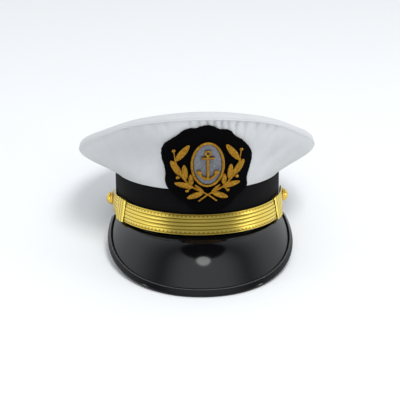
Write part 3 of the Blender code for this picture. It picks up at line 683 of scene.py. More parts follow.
# %% The cloth's material
# Cotton drill is a close twill of bleached yarn. It is matt, with a faint diagonal line, and a soft bloom
# where the light grazes it. Its real twill line is 0.5 mm apart, drawn here at 1.1 mm so that it can show.
def cotton_drill():
    material, tree, shader = finish_material("bleached_cotton_drill", {
        "Roughness": 0.85, "Sheen Weight": 0.1, "Sheen Roughness": 0.4, "IOR": 1.46})
    place = add_node(tree, "TexCoord").outputs["UV"]
    twill = stripes(tree, place, (0.7, 0.7, 0), 1.1 * MM)
    slub = add_node(tree, "TexNoise", None, {"Vector": place, "Scale": 90.0, "Detail": 3.0}).outputs["Fac"]
    height = add_node(tree, "Math", {"operation": "MULTIPLY_ADD"}, {0: twill, 1: 0.25, 2: slub})
    shades = add_node(tree, "MixRGB", None, {
        "Fac": slub, "Color1": linear("#C2C4C6"), "Color2": linear("#CACCCE")})
    bump = add_node(tree, "Bump", None, {
        "Height": height.outputs[0], "Strength": 0.35, "Distance": 0.12 * MM})
    tree.links.new(shades.outputs[0], shader.inputs["Base Color"])
    tree.links.new(bump.outputs[0], shader.inputs["Normal"])
    return material


white_drill = cotton_drill()
dress(crown_side, white_drill, "white_cloth", "crown_side")
dress(crown_top, white_drill, "white_cloth", "crown_top")

# %% [markdown]
# ## The welt and its stitches
#
# A thin welt, cord wrapped in the same cloth, fills the seam. Its tube follows the rim. A row of stitches
# runs just under it: each stitch is a short capsule of thread, and all of them are one mesh.


# %% Tubes and stitches as arrays
def tube_grid(path, side, up, radius, around):
    """Rings round a path: path + radius (cos t side + sin t up), a row for each point of the path."""
    turn = ring_angles(around)[None, :, None]
    radius = np.broadcast_to(radius, path.shape[:-1])[:, None, None]
    return path[:, None] + radius * (np.cos(turn) * side[:, None] + np.sin(turn) * up[:, None])


def unit(vectors):
    """Each vector divided by its length."""
    return vectors / np.linalg.norm(vectors, axis=-1, keepdims=True)


def even_angles(line_at, spacing, low, high):
    """Angles from low to high whose points on a line lie one spacing apart."""
    fine = np.linspace(low, high, 2000)
    length = np.concatenate([[0], np.cumsum(np.linalg.norm(np.diff(line_at(fine), axis=0), axis=1))])
    count = int(length[-1] / spacing)
    return np.interp(np.arange(count) * length[-1] / count, length, fine)


def stitch_stack(centre, along, out, half_length, radius, rows=7, around=8):
    """Capsules: centre + along x half length x s + radius (1 - s^4)^0.5 (cos t side + sin t out)."""
    share = np.linspace(-0.97, 0.97, rows)
    turn = ring_angles(around)
    thickness = radius * np.sqrt(1 - share ** 4)[:, None, None]
    side = np.cross(along, out)
    ring = np.cos(turn)[:, None] * side[:, None, None] + np.sin(turn)[:, None] * out[:, None, None]
    spine = centre[:, None] + along[:, None] * (half_length * share)[:, None]
    return spine[:, :, None] + thickness * ring


def line_frames(line_at, angle, step=0.002):
    """Points on a line and the unit vectors along it, by central differences."""
    return line_at(angle), unit(line_at(angle + step) - line_at(angle - step))


# %% The welt, with the row of stitches under it
SEAM_STITCH = 2.9 * MM
SEAM_STITCH_DROP = 2.2 * MM
THREAD_RADIUS = 0.22 * MM
STITCH_SHARE = 0.36  # half a stitch's length, as a share of the distance from stitch to stitch
welt_angle = ring_angles(CROWN_COLUMNS)
welt_path = roll_point(welt_angle, np.zeros(1)) + band_normal(welt_angle) * WELT_PROUD
welt_up = np.broadcast_to(UP, welt_path.shape)
welt_points = tube_grid(welt_path, band_normal(welt_angle), welt_up, WELT_RADIUS, around=10)
rim_welt = make_surface("white_rim_welt", welt_points, wrap_rows=True, wrap_columns=True)
dress(rim_welt, white_drill, "white_cloth", "rim_welt")


def wall_outside(angle, height):
    """The wall's outer face: half the cloth out along the cross of the two directions on it."""
    step = 0.004
    point = crown_wall(angle, height)
    around = crown_wall(angle + step, height) - crown_wall(angle - step, height)
    upwards = crown_wall(angle, height + step) - crown_wall(angle, height - step)
    normal = unit(np.cross(around, upwards))
    return point + normal * CLOTH_WALL / 2, normal


def seam_stitch_line(angle):
    """The wall's outer face, one drop below the seam."""
    drop = SEAM_STITCH_DROP / (seam_height(angle) - NECK_HEIGHT)
    return wall_outside(angle, 1 - drop)[0]


stitch_angle = even_angles(seam_stitch_line, SEAM_STITCH, 0, 2 * math.pi)
stitch_at, stitch_along = line_frames(seam_stitch_line, stitch_angle)
stitch_out = wall_outside(stitch_angle, 1 - SEAM_STITCH_DROP / (seam_height(stitch_angle) - NECK_HEIGHT))[1]
seam_stitches = make_surface("seam_stitches", stitch_stack(
    stitch_at, stitch_along, stitch_out, STITCH_SHARE * SEAM_STITCH, THREAD_RADIUS),
    ends=("first", "last"), wrap_columns=True)
dress(seam_stitches, white_drill, "white_cloth")
print("Stitches along the seam:", len(stitch_angle))

# %% [markdown]
# ## The black band
#
# The band is black ribbed braid stretched round a stiff hoop. Its ribs run round the head, so the section is
# drawn once, with a rib every 1.3 mm up the outer face, and carried round the oval. A real edge is never
# sharp, so the section's corners are rounded. Where the band rests, it is pressed flat.

# %% The band's section, carried round the oval
RIB_PITCH = 1.3 * MM
RIB_DEPTH = 0.16 * MM
BAND_COLUMNS = 260


def slab_section(width, half_wall, across_points, relief=None):
    """A closed outline: up the outer face with its relief, and down the inner face, with rounded ends."""
    share = np.linspace(-1, 1, across_points)
    rounding = (1 - np.abs(share) ** 24) ** 0.5
    outer = half_wall * rounding + (relief(share) * rounding if relief else 0)
    inner_share = np.linspace(1, -1, 12)[1:-1]
    inner = -half_wall * (1 - np.abs(inner_share) ** 24) ** 0.5
    return np.concatenate([share, inner_share]) * width / 2, np.concatenate([outer, inner])


def band_relief(share):
    """Ribs as the square root of a sine's size, which gives round cords with narrow grooves."""
    return RIB_DEPTH * (np.abs(np.sin(math.pi * share * BAND_HEIGHT / 2 / RIB_PITCH)) ** 0.5 - 1)


def rest_flat(piece, height=0.0):
    """Presses whatever would lie lower than this height up to it."""
    mesh = piece.data
    places = np.empty(len(mesh.vertices) * 3, np.float32)
    mesh.vertices.foreach_get("co", places)
    places = places.reshape(-1, 3)
    places[:, 2] = np.maximum(places[:, 2], height)
    mesh.vertices.foreach_set("co", places.ravel())
    mesh.update()


def band_grid():
    """Each section point stands off the oval by its outwardness, at its own height."""
    height, out = slab_section(BAND_HEIGHT, BAND_WALL / 2, 166, band_relief)
    angle = ring_angles(BAND_COLUMNS)[None]
    base = oval(angle, BAND_HALF_WIDTH - BAND_WALL / 2, BAND_HALF_LENGTH - BAND_WALL / 2, 0.0)
    return base + band_normal(angle) * out[:, None, None] + UP * (height + BAND_HEIGHT / 2)[:, None, None]


band_points = band_grid()
band_pattern = unrolled(band_points, True, True)
band = make_surface("black_band", band_points, band_pattern, wrap_rows=True, wrap_columns=True)
rest_flat(band)


# %% The braid's material
# Mohair braid is dull black, with short bristly fibres across its ribs that catch a little light.
def mohair_braid():
    material, tree, shader = finish_material("black_mohair_braid", {
        "Roughness": 0.7, "Specular IOR Level": 0.06, "Sheen Weight": 0.01, "Sheen Roughness": 0.5})
    place = add_node(tree, "TexCoord").outputs["UV"]
    threads = stripes(tree, place, (1, 0, 0), 0.9 * MM)
    fibre = add_node(tree, "TexNoise", None, {"Vector": place, "Scale": 700.0, "Detail": 2.0}).outputs["Fac"]
    height = add_node(tree, "Math", {"operation": "MULTIPLY_ADD"}, {0: threads, 1: 0.3, 2: fibre})
    shades = add_node(tree, "MixRGB", None, {
        "Fac": fibre, "Color1": linear("#040405"), "Color2": linear("#0C0C0E")})
    bump = add_node(tree, "Bump", None, {"Height": height.outputs[0], "Strength": 0.6, "Distance": 0.15 * MM})
    tree.links.new(shades.outputs[0], shader.inputs["Base Color"])
    tree.links.new(bump.outputs[0], shader.inputs["Normal"])
    return material


braid = mohair_braid()
dress(band, braid, "black_ribbon", "band")

# %% [markdown]
# ## The peak and its binding
#
# The peak is patent: leather or board under a thick coat of black varnish, pressed to a gentle bulge. Its
# looks are all reflection, so its surface must be smooth and its curve right. Each column runs from the root
# on the band to the edge, with a bulge on it that is a parabola, leant towards the root. A strip of the same
# stuff folds over the edge, and a row of stitches holds it.


# %% The peak's surface
def peak_surface(angle, share):
    """Root to fold, plus normal x bulge x (reach / front reach)^2 x 4 s (1 - s) (1 + lean (1 - 2 s))."""
    root, _, normal = peak_axes(angle)
    shape = 4 * share * (1 - share) * (1 + PEAK_BULGE_LEAN * (1 - 2 * share))
    bulge = PEAK_BULGE * (peak_reach(angle) / PEAK_REACH) ** 2 * shape
    return between(root, fold_centre(angle), share[..., None]) + normal * bulge[..., None]


def edge_axes(angle):
    """The binding's flat lies on the peak's last part: the way down it, its length and its normal."""
    room = peak_reach(angle) - BINDING_RADIUS
    start = 1 - np.minimum(BINDING_WIDTH - BINDING_RADIUS, room) / room
    _, slope, normal = peak_axes(angle)
    flat = fold_centre(angle) - peak_surface(angle, start)
    length = np.linalg.norm(flat, axis=-1, keepdims=True)
    down = flat / length
    along_slope = (down * slope).sum(axis=-1, keepdims=True)
    along_normal = (down * normal).sum(axis=-1, keepdims=True)
    return down, length, normal * along_slope - slope * along_normal


PEAK_COLUMNS = 220
peak_angle = np.linspace(-PEAK_SPAN, PEAK_SPAN, PEAK_COLUMNS)[None]
peak_points = peak_surface(peak_angle, np.linspace(0, 1, 60)[:, None])
peak = make_surface("black_peak", peak_points, unrolled(peak_points))
thicken(peak, PEAK_WALL)


# %% The binding, folded over the edge
def binding_fold(angle, rows_flat=5, rows_bend=16):
    """A flat strip, half a turn round the edge, and a flat strip back on the underside."""
    radius = BINDING_RADIUS - BINDING_WALL / 2
    down, flat, normal = edge_axes(angle)
    bend = np.linspace(0, math.pi, rows_bend)
    strip = np.linspace(1, 0.1, rows_flat)
    turn = np.concatenate([np.zeros(rows_flat), bend, np.full(rows_flat, math.pi)])[:, None, None]
    back = np.concatenate([strip, np.zeros(rows_bend), strip[::-1]])[:, None, None]
    return fold_centre(angle) + (down * np.sin(turn) + normal * np.cos(turn)) * radius - down * flat * back


binding_points = binding_fold(peak_angle)
peak_binding = make_surface("black_peak_binding", binding_points, unrolled(binding_points))
rest_flat(peak_binding, BINDING_WALL / 2)
thicken(peak_binding, BINDING_WALL)


BINDING_STITCH = 2.4 * MM
BINDING_STITCH_INSET = 1.3 * MM
BINDING_THREAD_RADIUS = 0.4 * MM


def binding_line(angle):
    """The stitch line on the binding's upper face, one inset from its free edge."""
    down, flat, normal = edge_axes(angle)
    return fold_centre(angle) + normal * BINDING_RADIUS - down * np.maximum(flat - BINDING_STITCH_INSET, 0)


binding_angle = even_angles(binding_line, BINDING_STITCH, -0.95 * PEAK_SPAN, 0.95 * PEAK_SPAN)
binding_at, binding_along = line_frames(binding_line, binding_angle)
binding_stitches = make_surface("binding_stitches", stitch_stack(
    binding_at, binding_along, edge_axes(binding_angle)[2],
    STITCH_SHARE * BINDING_STITCH, BINDING_THREAD_RADIUS), ends=("first", "last"), wrap_columns=True)


# %% The patent's material
# Patent leather has a deep black body under clear varnish. It mirrors softly, with a faint orange peel
# about 9 mm across, and fine scuffs that only show in the highlights. The binding's tape mirrors less.
def patent_leather(name, mirror):
    material, tree, shader = finish_material(name, {
        "Base Color": linear("#08080A"), "IOR": 1.48, "Specular IOR Level": mirror})
    place = add_node(tree, "TexCoord").outputs["UV"]
    peel = add_node(tree, "TexNoise", None, {"Vector": place, "Scale": 110.0, "Detail": 1.0}).outputs["Fac"]
    scuff = add_node(tree, "TexNoise", None, {"Vector": place, "Scale": 900.0, "Detail": 4.0}).outputs["Fac"]
    rough = add_node(tree, "MapRange", None, {"Value": scuff, "To Min": 0.07, "To Max": 0.13})
    bump = add_node(tree, "Bump", None, {"Height": peel, "Strength": 0.25, "Distance": 0.1 * MM})
    tree.links.new(rough.outputs[0], shader.inputs["Roughness"])
    tree.links.new(bump.outputs[0], shader.inputs["Normal"])
    return material


# The thread is waxed polyester, off black and smooth enough to catch a light point on every stitch. Its
# colour is a lighter grey than that: a painted highlight, so that each stitch shows as a bright tick.
def waxed_thread():
    # The mid grey base colour is lighter than the thread: a painted highlight on the stitches.
    material, tree, shader = finish_material("waxed_black_thread", {
        "Base Color": linear("#54565A"), "Roughness": 0.22, "IOR": 1.7})
    place = add_node(tree, "TexCoord").outputs["Object"]
    ply = add_node(tree, "TexNoise", None, {"Vector": place, "Scale": 1500.0}).outputs["Fac"]
    bump = add_node(tree, "Bump", None, {"Height": ply, "Strength": 0.5, "Distance": 0.1 * MM})
    tree.links.new(bump.outputs[0], shader.inputs["Normal"])
    return material


dress(peak, patent_leather("black_patent_leather", 0.5), "black_patent", "peak")
dress(peak_binding, patent_leather("black_patent_tape", 0.25), "black_patent", "peak_binding")
dress(binding_stitches, waxed_thread(), "black_patent")

# %% [markdown]
# ## The chin strap
#
# The strap is gold lace, a ribbon woven from gilt thread: three round cords run along its middle, and a flat
# edge with a row of needle holes lies on each side. The section's relief is drawn once and carried along the
# strap, which leans out over the peak at the front and narrows to round ends past the buttons. Where a cord
# is plied, a slanting wave runs along it.

# %% The strap's sizes and its surface
STRAP_WIDTH = 20.5 * MM
STRAP_WALL = 1.6 * MM
STRAP_CLEARANCE = 1.7 * MM
STRAP_FOOT = 0.6 * MM
STRAP_SIDE_RISE = 3 * MM
STRAP_LEAN = math.radians(20)
BUTTON_ANGLE = math.radians(86)
SLIDER_ANGLE = math.radians(62)
SLIDER_WIDTH = 19 * MM
SLIDER_WALL = 1 * MM
CORD_EDGES = (-0.51, -0.17, 0.17, 0.51)
CORD_DEPTH = 0.45 * MM
PLY_PITCH = 3.4 * MM


def strap_surface(angle, across, out):
    """The strap's middle at a share across it, from -1 at its foot to 1, stood off by out."""
    lean = STRAP_LEAN * np.maximum(0.0, np.cos(angle))
    top = STRAP_FOOT + STRAP_WIDTH * math.cos(STRAP_LEAN) + STRAP_SIDE_RISE * (1 - np.cos(angle))
    below = STRAP_WIDTH * (1 - across) / 2
    base = oval(angle, BAND_HALF_WIDTH, BAND_HALF_LENGTH, top - below * np.cos(lean))
    stand = STRAP_CLEARANCE + STRAP_WALL / 2 + below * np.sin(lean) + out * np.cos(lean)
    return base + band_normal(angle) * stand[..., None] + UP * (out * np.sin(lean))[..., None]


def arc_speed(angle):
    """How far a point on the band moves for each radian."""
    return np.hypot(BAND_HALF_WIDTH * np.cos(angle), BAND_HALF_LENGTH * np.sin(angle))


def band_length(angle):
    """The length along the band from the front to an angle, by adding up short steps."""
    fine = np.linspace(-math.pi, math.pi, 4001)
    steps = arc_speed(fine[:-1]) * np.diff(fine)
    return np.interp(angle, fine, np.concatenate([[0], np.cumsum(steps)]) - steps.sum() / 2)


def lace_relief(across, length):
    """Round cords between the edges in the table, with a slanting ply, and flat edges outside them."""
    relief = np.full(np.broadcast(across, length).shape, -0.55 * CORD_DEPTH)
    for low, high in zip(CORD_EDGES[:-1], CORD_EDGES[1:]):
        place = (2 * across - low - high) / (high - low)
        cord = np.sqrt(np.clip(1 - place * place, 0, 1))
        ply = 0.05 * np.sin(2 * math.pi * (length + across * STRAP_WIDTH * 0.8) / PLY_PITCH)
        relief = np.where(np.abs(place) < 1, CORD_DEPTH * (cord * (1 + ply) - 0.8), relief)
    edge = np.clip((np.abs(across) - 0.86) / 0.14, 0, 1)
    return relief + 0.35 * CORD_DEPTH * np.sin(math.pi * edge)


def strap_end():
    """The angle at which the strap's round end stops, half its width past the button."""
    return BUTTON_ANGLE + STRAP_WIDTH / 2 / float(arc_speed(BUTTON_ANGLE))


STRAP_COLUMNS = 700
STRAP_ACROSS = 72


def strap_grid():
    """Rows run across the outer face and back along the inner one, and columns run along the strap."""
    end = strap_end()
    angle = np.linspace(-end, end, STRAP_COLUMNS)
    past = np.maximum(0.0, np.abs(angle) - BUTTON_ANGLE) * arc_speed(BUTTON_ANGLE) / (STRAP_WIDTH / 2)
    narrowing = np.maximum(0.35, np.sqrt(np.maximum(0.0, 1 - past ** 2)))[None]
    share = np.concatenate([np.linspace(-1, 1, STRAP_ACROSS), np.linspace(1, -1, 14)[1:-1]])[:, None]
    outer = np.arange(len(share))[:, None] < STRAP_ACROSS
    rounding = (1 - np.abs(share) ** 20) ** 0.5
    face = STRAP_WALL / 2 + lace_relief(share, band_length(angle)[None])
    out = np.where(outer, face, -STRAP_WALL / 2) * rounding
    points = strap_surface(angle[None], share * narrowing, out)
    across = np.broadcast_to(np.where(outer, share, 2 + share) * STRAP_WIDTH / 2, out.shape)
    along = np.broadcast_to(band_length(angle)[None], out.shape)
    pattern = np.stack([along, across], axis=-1)
    return points, np.concatenate([pattern, pattern[:1] + [0, STRAP_WIDTH]])


strap_points, strap_pattern = strap_grid()
chin_strap = make_surface(
    "gold_chin_strap", strap_points.transpose(1, 0, 2), strap_pattern.transpose(1, 0, 2),
    wrap_columns=True, ends=("first", "last"))


# %% The lace's material
# Gold lace is flat gilt strip wound on silk. It shines in short slanting lines, between metal and cloth.
# The strips are 0.35 mm apart, drawn at 1.5 mm, and the needle holes 4 mm apart. In front the colour is
# painted darker, down to a third at the middle: painted shade that fades out over 70 mm to each side.
RIB_SPACING = (CORD_EDGES[1] - CORD_EDGES[0]) * STRAP_WIDTH / 2
HOLE_PITCH = 4 * MM
HOLE_LINE = 0.75
HOLE_RADIUS = 0.65 * MM
# The share of colour left at the strap's middle front, and how far the painted shade reaches to each side.
FRONT_PAINTED_SHADE = 0.34
FRONT_SHADE_REACH = 70 * MM


def gold_lace(name, rib_pitch, holes):
    """Ribs run along the pattern's X: their grooves are painted darker, as painted shade, and slanting strips
    cross them.
    """
    material, tree, shader = finish_material(name, {"Metallic": 1.0, "Roughness": 0.32})
    place = add_node(tree, "TexCoord").outputs["UV"]
    parts = add_node(tree, "SeparateXYZ", None, {0: place})
    strips = stripes(tree, place, (0.8, 0.6, 0), 1.5 * MM)
    turn = add_node(tree, "Math", {"operation": "MULTIPLY"}, {
        0: parts.outputs["Y"], 1: 2 * math.pi / rib_pitch})
    rib = add_node(tree, "Math", {"operation": "COSINE"}, {0: turn.outputs[0]})
    # The rib's cosine darkens the colour in a narrow band at each groove: painted shade between the cords.
    lit = add_node(tree, "MapRange", None, {
        "Value": rib.outputs[0], "From Min": -1.0, "From Max": -0.35, "To Min": 0.0, "To Max": 0.85})
    lit = add_node(tree, "Math", {"operation": "MULTIPLY_ADD"}, {0: strips, 1: 0.12, 2: lit.outputs[0]})
    gold = add_node(tree, "MixRGB", None, {
        "Fac": lit.outputs[0], "Color1": linear("#9A6C10"), "Color2": linear("#F2DE6C")})
    raised = add_node(tree, "Math", {"operation": "MULTIPLY"}, {0: strips, 1: 0.2})
    if holes:
        along = add_node(tree, "Math", {"operation": "PINGPONG"}, {0: parts.outputs["X"], 1: HOLE_PITCH / 2})
        height = add_node(tree, "Math", {"operation": "ABSOLUTE"}, {0: parts.outputs["Y"]})
        above = add_node(tree, "Math", {"operation": "SUBTRACT"}, {
            0: height.outputs[0], 1: HOLE_LINE * STRAP_WIDTH / 2})
        spot = add_node(tree, "CombineXYZ", None, {"X": along.outputs[0], "Y": above.outputs[0]})
        reach = add_node(tree, "VectorMath", {"operation": "LENGTH"}, {0: spot.outputs[0]})
        # Each needle hole is painted near black, painted shade inside the hole, and is also sunk in the bump.
        hole = add_node(tree, "MapRange", None, {
            "Value": reach.outputs["Value"], "From Min": 0.4 * HOLE_RADIUS, "From Max": 1.4 * HOLE_RADIUS})
        gold = add_node(tree, "MixRGB", None, {
            "Fac": hole.outputs[0], "Color1": linear("#2E2006"), "Color2": gold.outputs[0]})
        raised = add_node(tree, "Math", {"operation": "MULTIPLY_ADD"}, {
            0: strips, 1: 0.2, 2: hole.outputs[0]})
        # The strap's colour is multiplied down towards the front: a painted shade that fades out along the
        # strap.
        from_front = add_node(tree, "Math", {"operation": "ABSOLUTE"}, {0: parts.outputs["X"]})
        front_shade = add_node(tree, "MapRange", {"interpolation_type": "SMOOTHSTEP"}, {
            "Value": from_front.outputs[0], "From Min": 0.0, "From Max": FRONT_SHADE_REACH,
            "To Min": FRONT_PAINTED_SHADE, "To Max": 1.0})
        gold = add_node(tree, "MixRGB", {"blend_type": "MULTIPLY"}, {
            "Fac": 1.0, "Color1": gold.outputs[0], "Color2": front_shade.outputs[0]})
    bump = add_node(tree, "Bump", None, {"Height": raised.outputs[0], "Strength": 0.6, "Distance": 0.25 * MM})
    tree.links.new(gold.outputs[0], shader.inputs["Base Color"])
    tree.links.new(bump.outputs[0], shader.inputs["Normal"])
    return material


dress(chin_strap, gold_lace("woven_gold_lace", RIB_SPACING, holes=True), "gold_lace", "chin_strap")

# %% [markdown]
# ## The keepers
#
# A keeper is a loop of the same lace sewn round the strap, with its cords running up and down. Its section is
# a squared ring about the strap, drawn as a superellipse, and four cords cross its width.

# %% The two keepers
SLIDER_CORDS = 4
SLIDER_ACROSS = 60
RIB_WIDTH = SLIDER_WIDTH / SLIDER_CORDS


def slider_shares():
    """From -1 to 1 over the outer face and back over the inner one."""
    share = np.linspace(-1, 1, SLIDER_ACROSS)
    return np.concatenate([share, share[::-1][1:-1]])


def slider_grid(side, loop_points=72):
    """A superellipse round the strap, cos and sin each to the power 0.22, with cords across its width."""
    half_turn = SLIDER_WIDTH / 2 / arc_speed(SLIDER_ANGLE)
    share = slider_shares()
    outer = np.arange(len(share)) < SLIDER_ACROSS
    cord = np.abs(np.sin(math.pi * (share + 1) / 2 * SLIDER_CORDS)) ** 0.6
    thickness = (SLIDER_WALL + 0.6 * MM * (cord - 0.9)) * (1 - np.abs(share) ** 8) ** 0.5
    wall = (np.where(outer, thickness, 0) - SLIDER_WALL / 2)[:, None]
    turn = ring_angles(loop_points)[None]
    cosine = np.sign(np.cos(turn)) * np.abs(np.cos(turn)) ** 0.22
    sine = np.sign(np.sin(turn)) * np.abs(np.sin(turn)) ** 0.22
    reach_out = STRAP_WALL / 2 + CORD_DEPTH * 0.2 + PIECE_GAP + SLIDER_WALL / 2 + wall
    reach_up = STRAP_WIDTH / 2 + PIECE_GAP + SLIDER_WALL / 2 + wall
    angle = side * (SLIDER_ANGLE + share[:, None] * half_turn)
    across = cosine * reach_up / (STRAP_WIDTH / 2)
    points = strap_surface(np.broadcast_to(angle, across.shape), across, sine * reach_out)
    return points


def slider_pattern(loop_points):
    """X runs round the loop. Y crosses it, with the lace's painted groove shade between the ribs and none at
    the two ends.
    """
    pattern = unrolled(loop_points, True, True)
    share = np.clip(slider_shares(), -0.9, 0.9)
    pattern[..., 1] = (np.append(share, share[0]) * SLIDER_WIDTH / 2 + RIB_WIDTH / 2)[:, None]
    return pattern


keeper_lace = gold_lace("keeper_gold_lace", RIB_WIDTH, holes=False)
for name, side in (("left", -1), ("right", 1)):
    loop_points = slider_grid(side)
    slider = make_surface("gold_slider_" + name, loop_points, slider_pattern(loop_points),
                          wrap_rows=True, wrap_columns=True)
    dress(slider, keeper_lace, "gold_lace", "slider_" + name)

# %% [markdown]
# ## The buttons
#
# Each end of the strap is held by a gilt button: a stamped brass dome with a turned edge. A profile is drawn
# from the dome's top to the shank and spun about its axis, which points out of the cap.

# %% The two buttons
BUTTON_RADIUS = 7.2 * MM
BUTTON_RIM = 1.2 * MM
BUTTON_DOME = 5.0 * MM
SHANK_RADIUS = 1.5 * MM
SHANK_LENGTH = PIECE_GAP + STRAP_WALL + STRAP_CLEARANCE + BAND_WALL + 1 * MM
BUTTON_AROUND = 72


def button_profile():
    """(radius, height) from just off the dome's top, over a step and a round edge, to the shank's end."""
    turn = np.linspace(0.04, math.pi / 2, 22)
    dome = np.stack([0.9 * BUTTON_RADIUS * np.sin(turn), BUTTON_RIM + BUTTON_DOME * np.cos(turn)], axis=1)
    bead = np.linspace(math.pi / 2, -math.pi / 2, 9)
    rim = np.stack([0.93 * BUTTON_RADIUS + 0.07 * BUTTON_RADIUS * np.cos(bead),
                    BUTTON_RIM / 2 + BUTTON_RIM / 2 * np.sin(bead)], axis=1)
    shank = np.array([[SHANK_RADIUS * 1.1, 0], [SHANK_RADIUS, -0.1 * MM], [SHANK_RADIUS, -SHANK_LENGTH]])
    return np.concatenate([dome, rim, shank])


def button_grid(side):
    """Rings of the profile's radius about the axis, in the plane that the band's normal crosses."""
    angle = np.array([side * BUTTON_ANGLE])
    seat = strap_surface(angle, np.zeros(1), np.full(1, STRAP_WALL / 2 + PIECE_GAP))[0]
    axis = band_normal(angle)[0]
    sideways = np.cross(UP, axis)
    radius, height = button_profile().T
    turn = ring_angles(BUTTON_AROUND)[None, :, None]
    ring = np.cos(turn) * sideways + np.sin(turn) * UP
    return seat + axis * height[:, None, None] + ring * radius[:, None, None]


# Gilt brass is bright yellow metal, stamped and then polished, with a soft haze of fine handling marks.
def gilt_brass():
    material, tree, shader = finish_material("gilt_brass", {"Metallic": 1.0})
    place = add_node(tree, "TexCoord").outputs["Object"]
    haze = add_node(tree, "TexNoise", None, {"Vector": place, "Scale": 500.0, "Detail": 4.0}).outputs["Fac"]
    rough = add_node(tree, "MapRange", None, {"Value": haze, "To Min": 0.16, "To Max": 0.36})
    gold = add_node(tree, "MixRGB", None, {
        "Fac": haze, "Color1": linear("#D9AE3A"), "Color2": linear("#EFD06A")})
    tree.links.new(rough.outputs[0], shader.inputs["Roughness"])
    tree.links.new(gold.outputs[0], shader.inputs["Base Color"])
    return material


gilt = gilt_brass()
for name, side in (("left", -1), ("right", 1)):
    button = make_surface("gilt_button_" + name, button_grid(side), wrap_columns=True, ends=("first", "last"))
    dress(button, gilt, "gilt_metal", "button_" + name)

# %% [markdown]
# ## A badge that lies on the cap
#
# The badge is drawn flat, as its maker draws it: so far across, so far up and so high above the felt. One
# function bends that drawing over the front of the cap, which is the band below and the crown above in one
# smooth sheet. For a place across and a height, it finds the angle round the cap by Newton steps.

# %% The front of the cap as a sheet
BADGE_HALF_WIDTH = 43 * MM
BADGE_HALF_HEIGHT = 44 * MM
BADGE_SIDE_STEP = 4 * MM
BADGE_CENTRE_HEIGHT = 65.5 * MM
BADGE_CLEARANCE = 1.3 * MM
FELT_WALL = 1.8 * MM
FELT_FACE = BADGE_CLEARANCE + FELT_WALL + 0.3 * MM


def front_point(across, height):
    """The front's point at this x and z. The share up the wall is softened where band and crown meet."""
    angle = np.arcsin(np.clip(across / BAND_HALF_WIDTH, -1, 1))
    for _ in range(8):
        share = (height - NECK_HEIGHT) / (seam_height(angle) - NECK_HEIGHT)
        soft_share = 0.5 * (share + np.hypot(share, 0.08))
        point = wall_point(angle, soft_share, BAND_HALF_WIDTH, BAND_HALF_LENGTH)
        angle = angle + (across - point[..., 0]) / (BAND_HALF_WIDTH * np.cos(angle))
    point[..., 2] = height
    return point


def badge_point(across, up, lift):
    """The front's point, lifted along its normal, which is the cross of the sideways and upward steps."""
    across, up, lift = np.broadcast_arrays(across, up, lift)
    step = 1 * MM
    x, z = BADGE_SIDE_STEP + across, BADGE_CENTRE_HEIGHT + up
    sideways = front_point(x + step, z) - front_point(x - step, z)
    upwards = front_point(x, z + step) - front_point(x, z - step)
    return front_point(x, z) + unit(np.cross(sideways, upwards)) * lift[..., None]


# %% The felt
FeltPoint = namedtuple("FeltPoint", "angle reach")
FELT_OUTLINE = (
    FeltPoint(0, 1.03), FeltPoint(8, 1.01), FeltPoint(15, 0.97), FeltPoint(22, 1.00),
    FeltPoint(29, 1.02), FeltPoint(38, 0.98), FeltPoint(50, 1.015), FeltPoint(66, 1.045),
    FeltPoint(76, 1.015), FeltPoint(87, 0.948), FeltPoint(98, 0.911), FeltPoint(107, 0.92),
    FeltPoint(116, 0.99), FeltPoint(125, 0.99), FeltPoint(136, 0.93), FeltPoint(150, 0.98),
    FeltPoint(165, 1.00), FeltPoint(180, 0.99), FeltPoint(195, 1.00), FeltPoint(210, 0.92),
    FeltPoint(226, 0.95), FeltPoint(243, 0.965), FeltPoint(253, 0.953), FeltPoint(265, 0.912),
    FeltPoint(275, 0.935), FeltPoint(284, 1.01), FeltPoint(292, 1.08), FeltPoint(301, 1.118),
    FeltPoint(311, 1.072), FeltPoint(320, 1.04), FeltPoint(330, 1.054), FeltPoint(338, 1.04),
    FeltPoint(345, 1.00), FeltPoint(352, 1.02),
)
FELT_COLUMNS = 360
FELT_FUZZ = 0.12 * MM


def felt_reach(turn):
    """The scalloped outline's reach at a turn from 0 to 1, by a Catmull-Rom curve through its table."""
    angles = np.array([point.angle for point in FELT_OUTLINE] + [360.0])
    reaches = np.array([point.reach for point in FELT_OUTLINE])
    count = len(reaches)
    degrees = 360 * turn
    row = np.searchsorted(angles, degrees, side="right") - 1
    share = (degrees - angles[row]) / (angles[row + 1] - angles[row])
    return catmull_rom(*[reaches[(row + step) % count] for step in (-1, 0, 1, 2)], share)


def felt_grid():
    """Rings from the middle of the face, over the cut edge and back to the middle behind, a little fuzzy."""
    generator = np.random.default_rng(seed=7)
    face = np.linspace(0.02, 1, 46) ** 0.8
    share = np.concatenate([face, [1.0, 1.0], face[::-6]])[:, None]
    low, high = BADGE_CLEARANCE, BADGE_CLEARANCE + FELT_WALL
    edge = [high - 0.25 * MM, between(low, high, 0.6), between(low, high, 0.3)]
    level = np.concatenate([np.full(45, high), edge, np.full(len(face[::-6]), low)])[:, None]
    turn = np.linspace(0, 1, FELT_COLUMNS, endpoint=False)[None]
    fuzz = generator.normal(0, FELT_FUZZ, (len(share), FELT_COLUMNS))
    ragged = 1 + generator.normal(0, 0.002, (1, FELT_COLUMNS)) + 0.002 * np.sin(2 * math.pi * 61 * turn)
    reach = felt_reach(turn) * share * ragged
    across = BADGE_HALF_WIDTH * reach * np.sin(2 * math.pi * turn)
    up = BADGE_HALF_HEIGHT * reach * np.cos(2 * math.pi * turn)
    return badge_point(across, up, level + np.clip(fuzz, -2 * FELT_FUZZ, 2 * FELT_FUZZ))


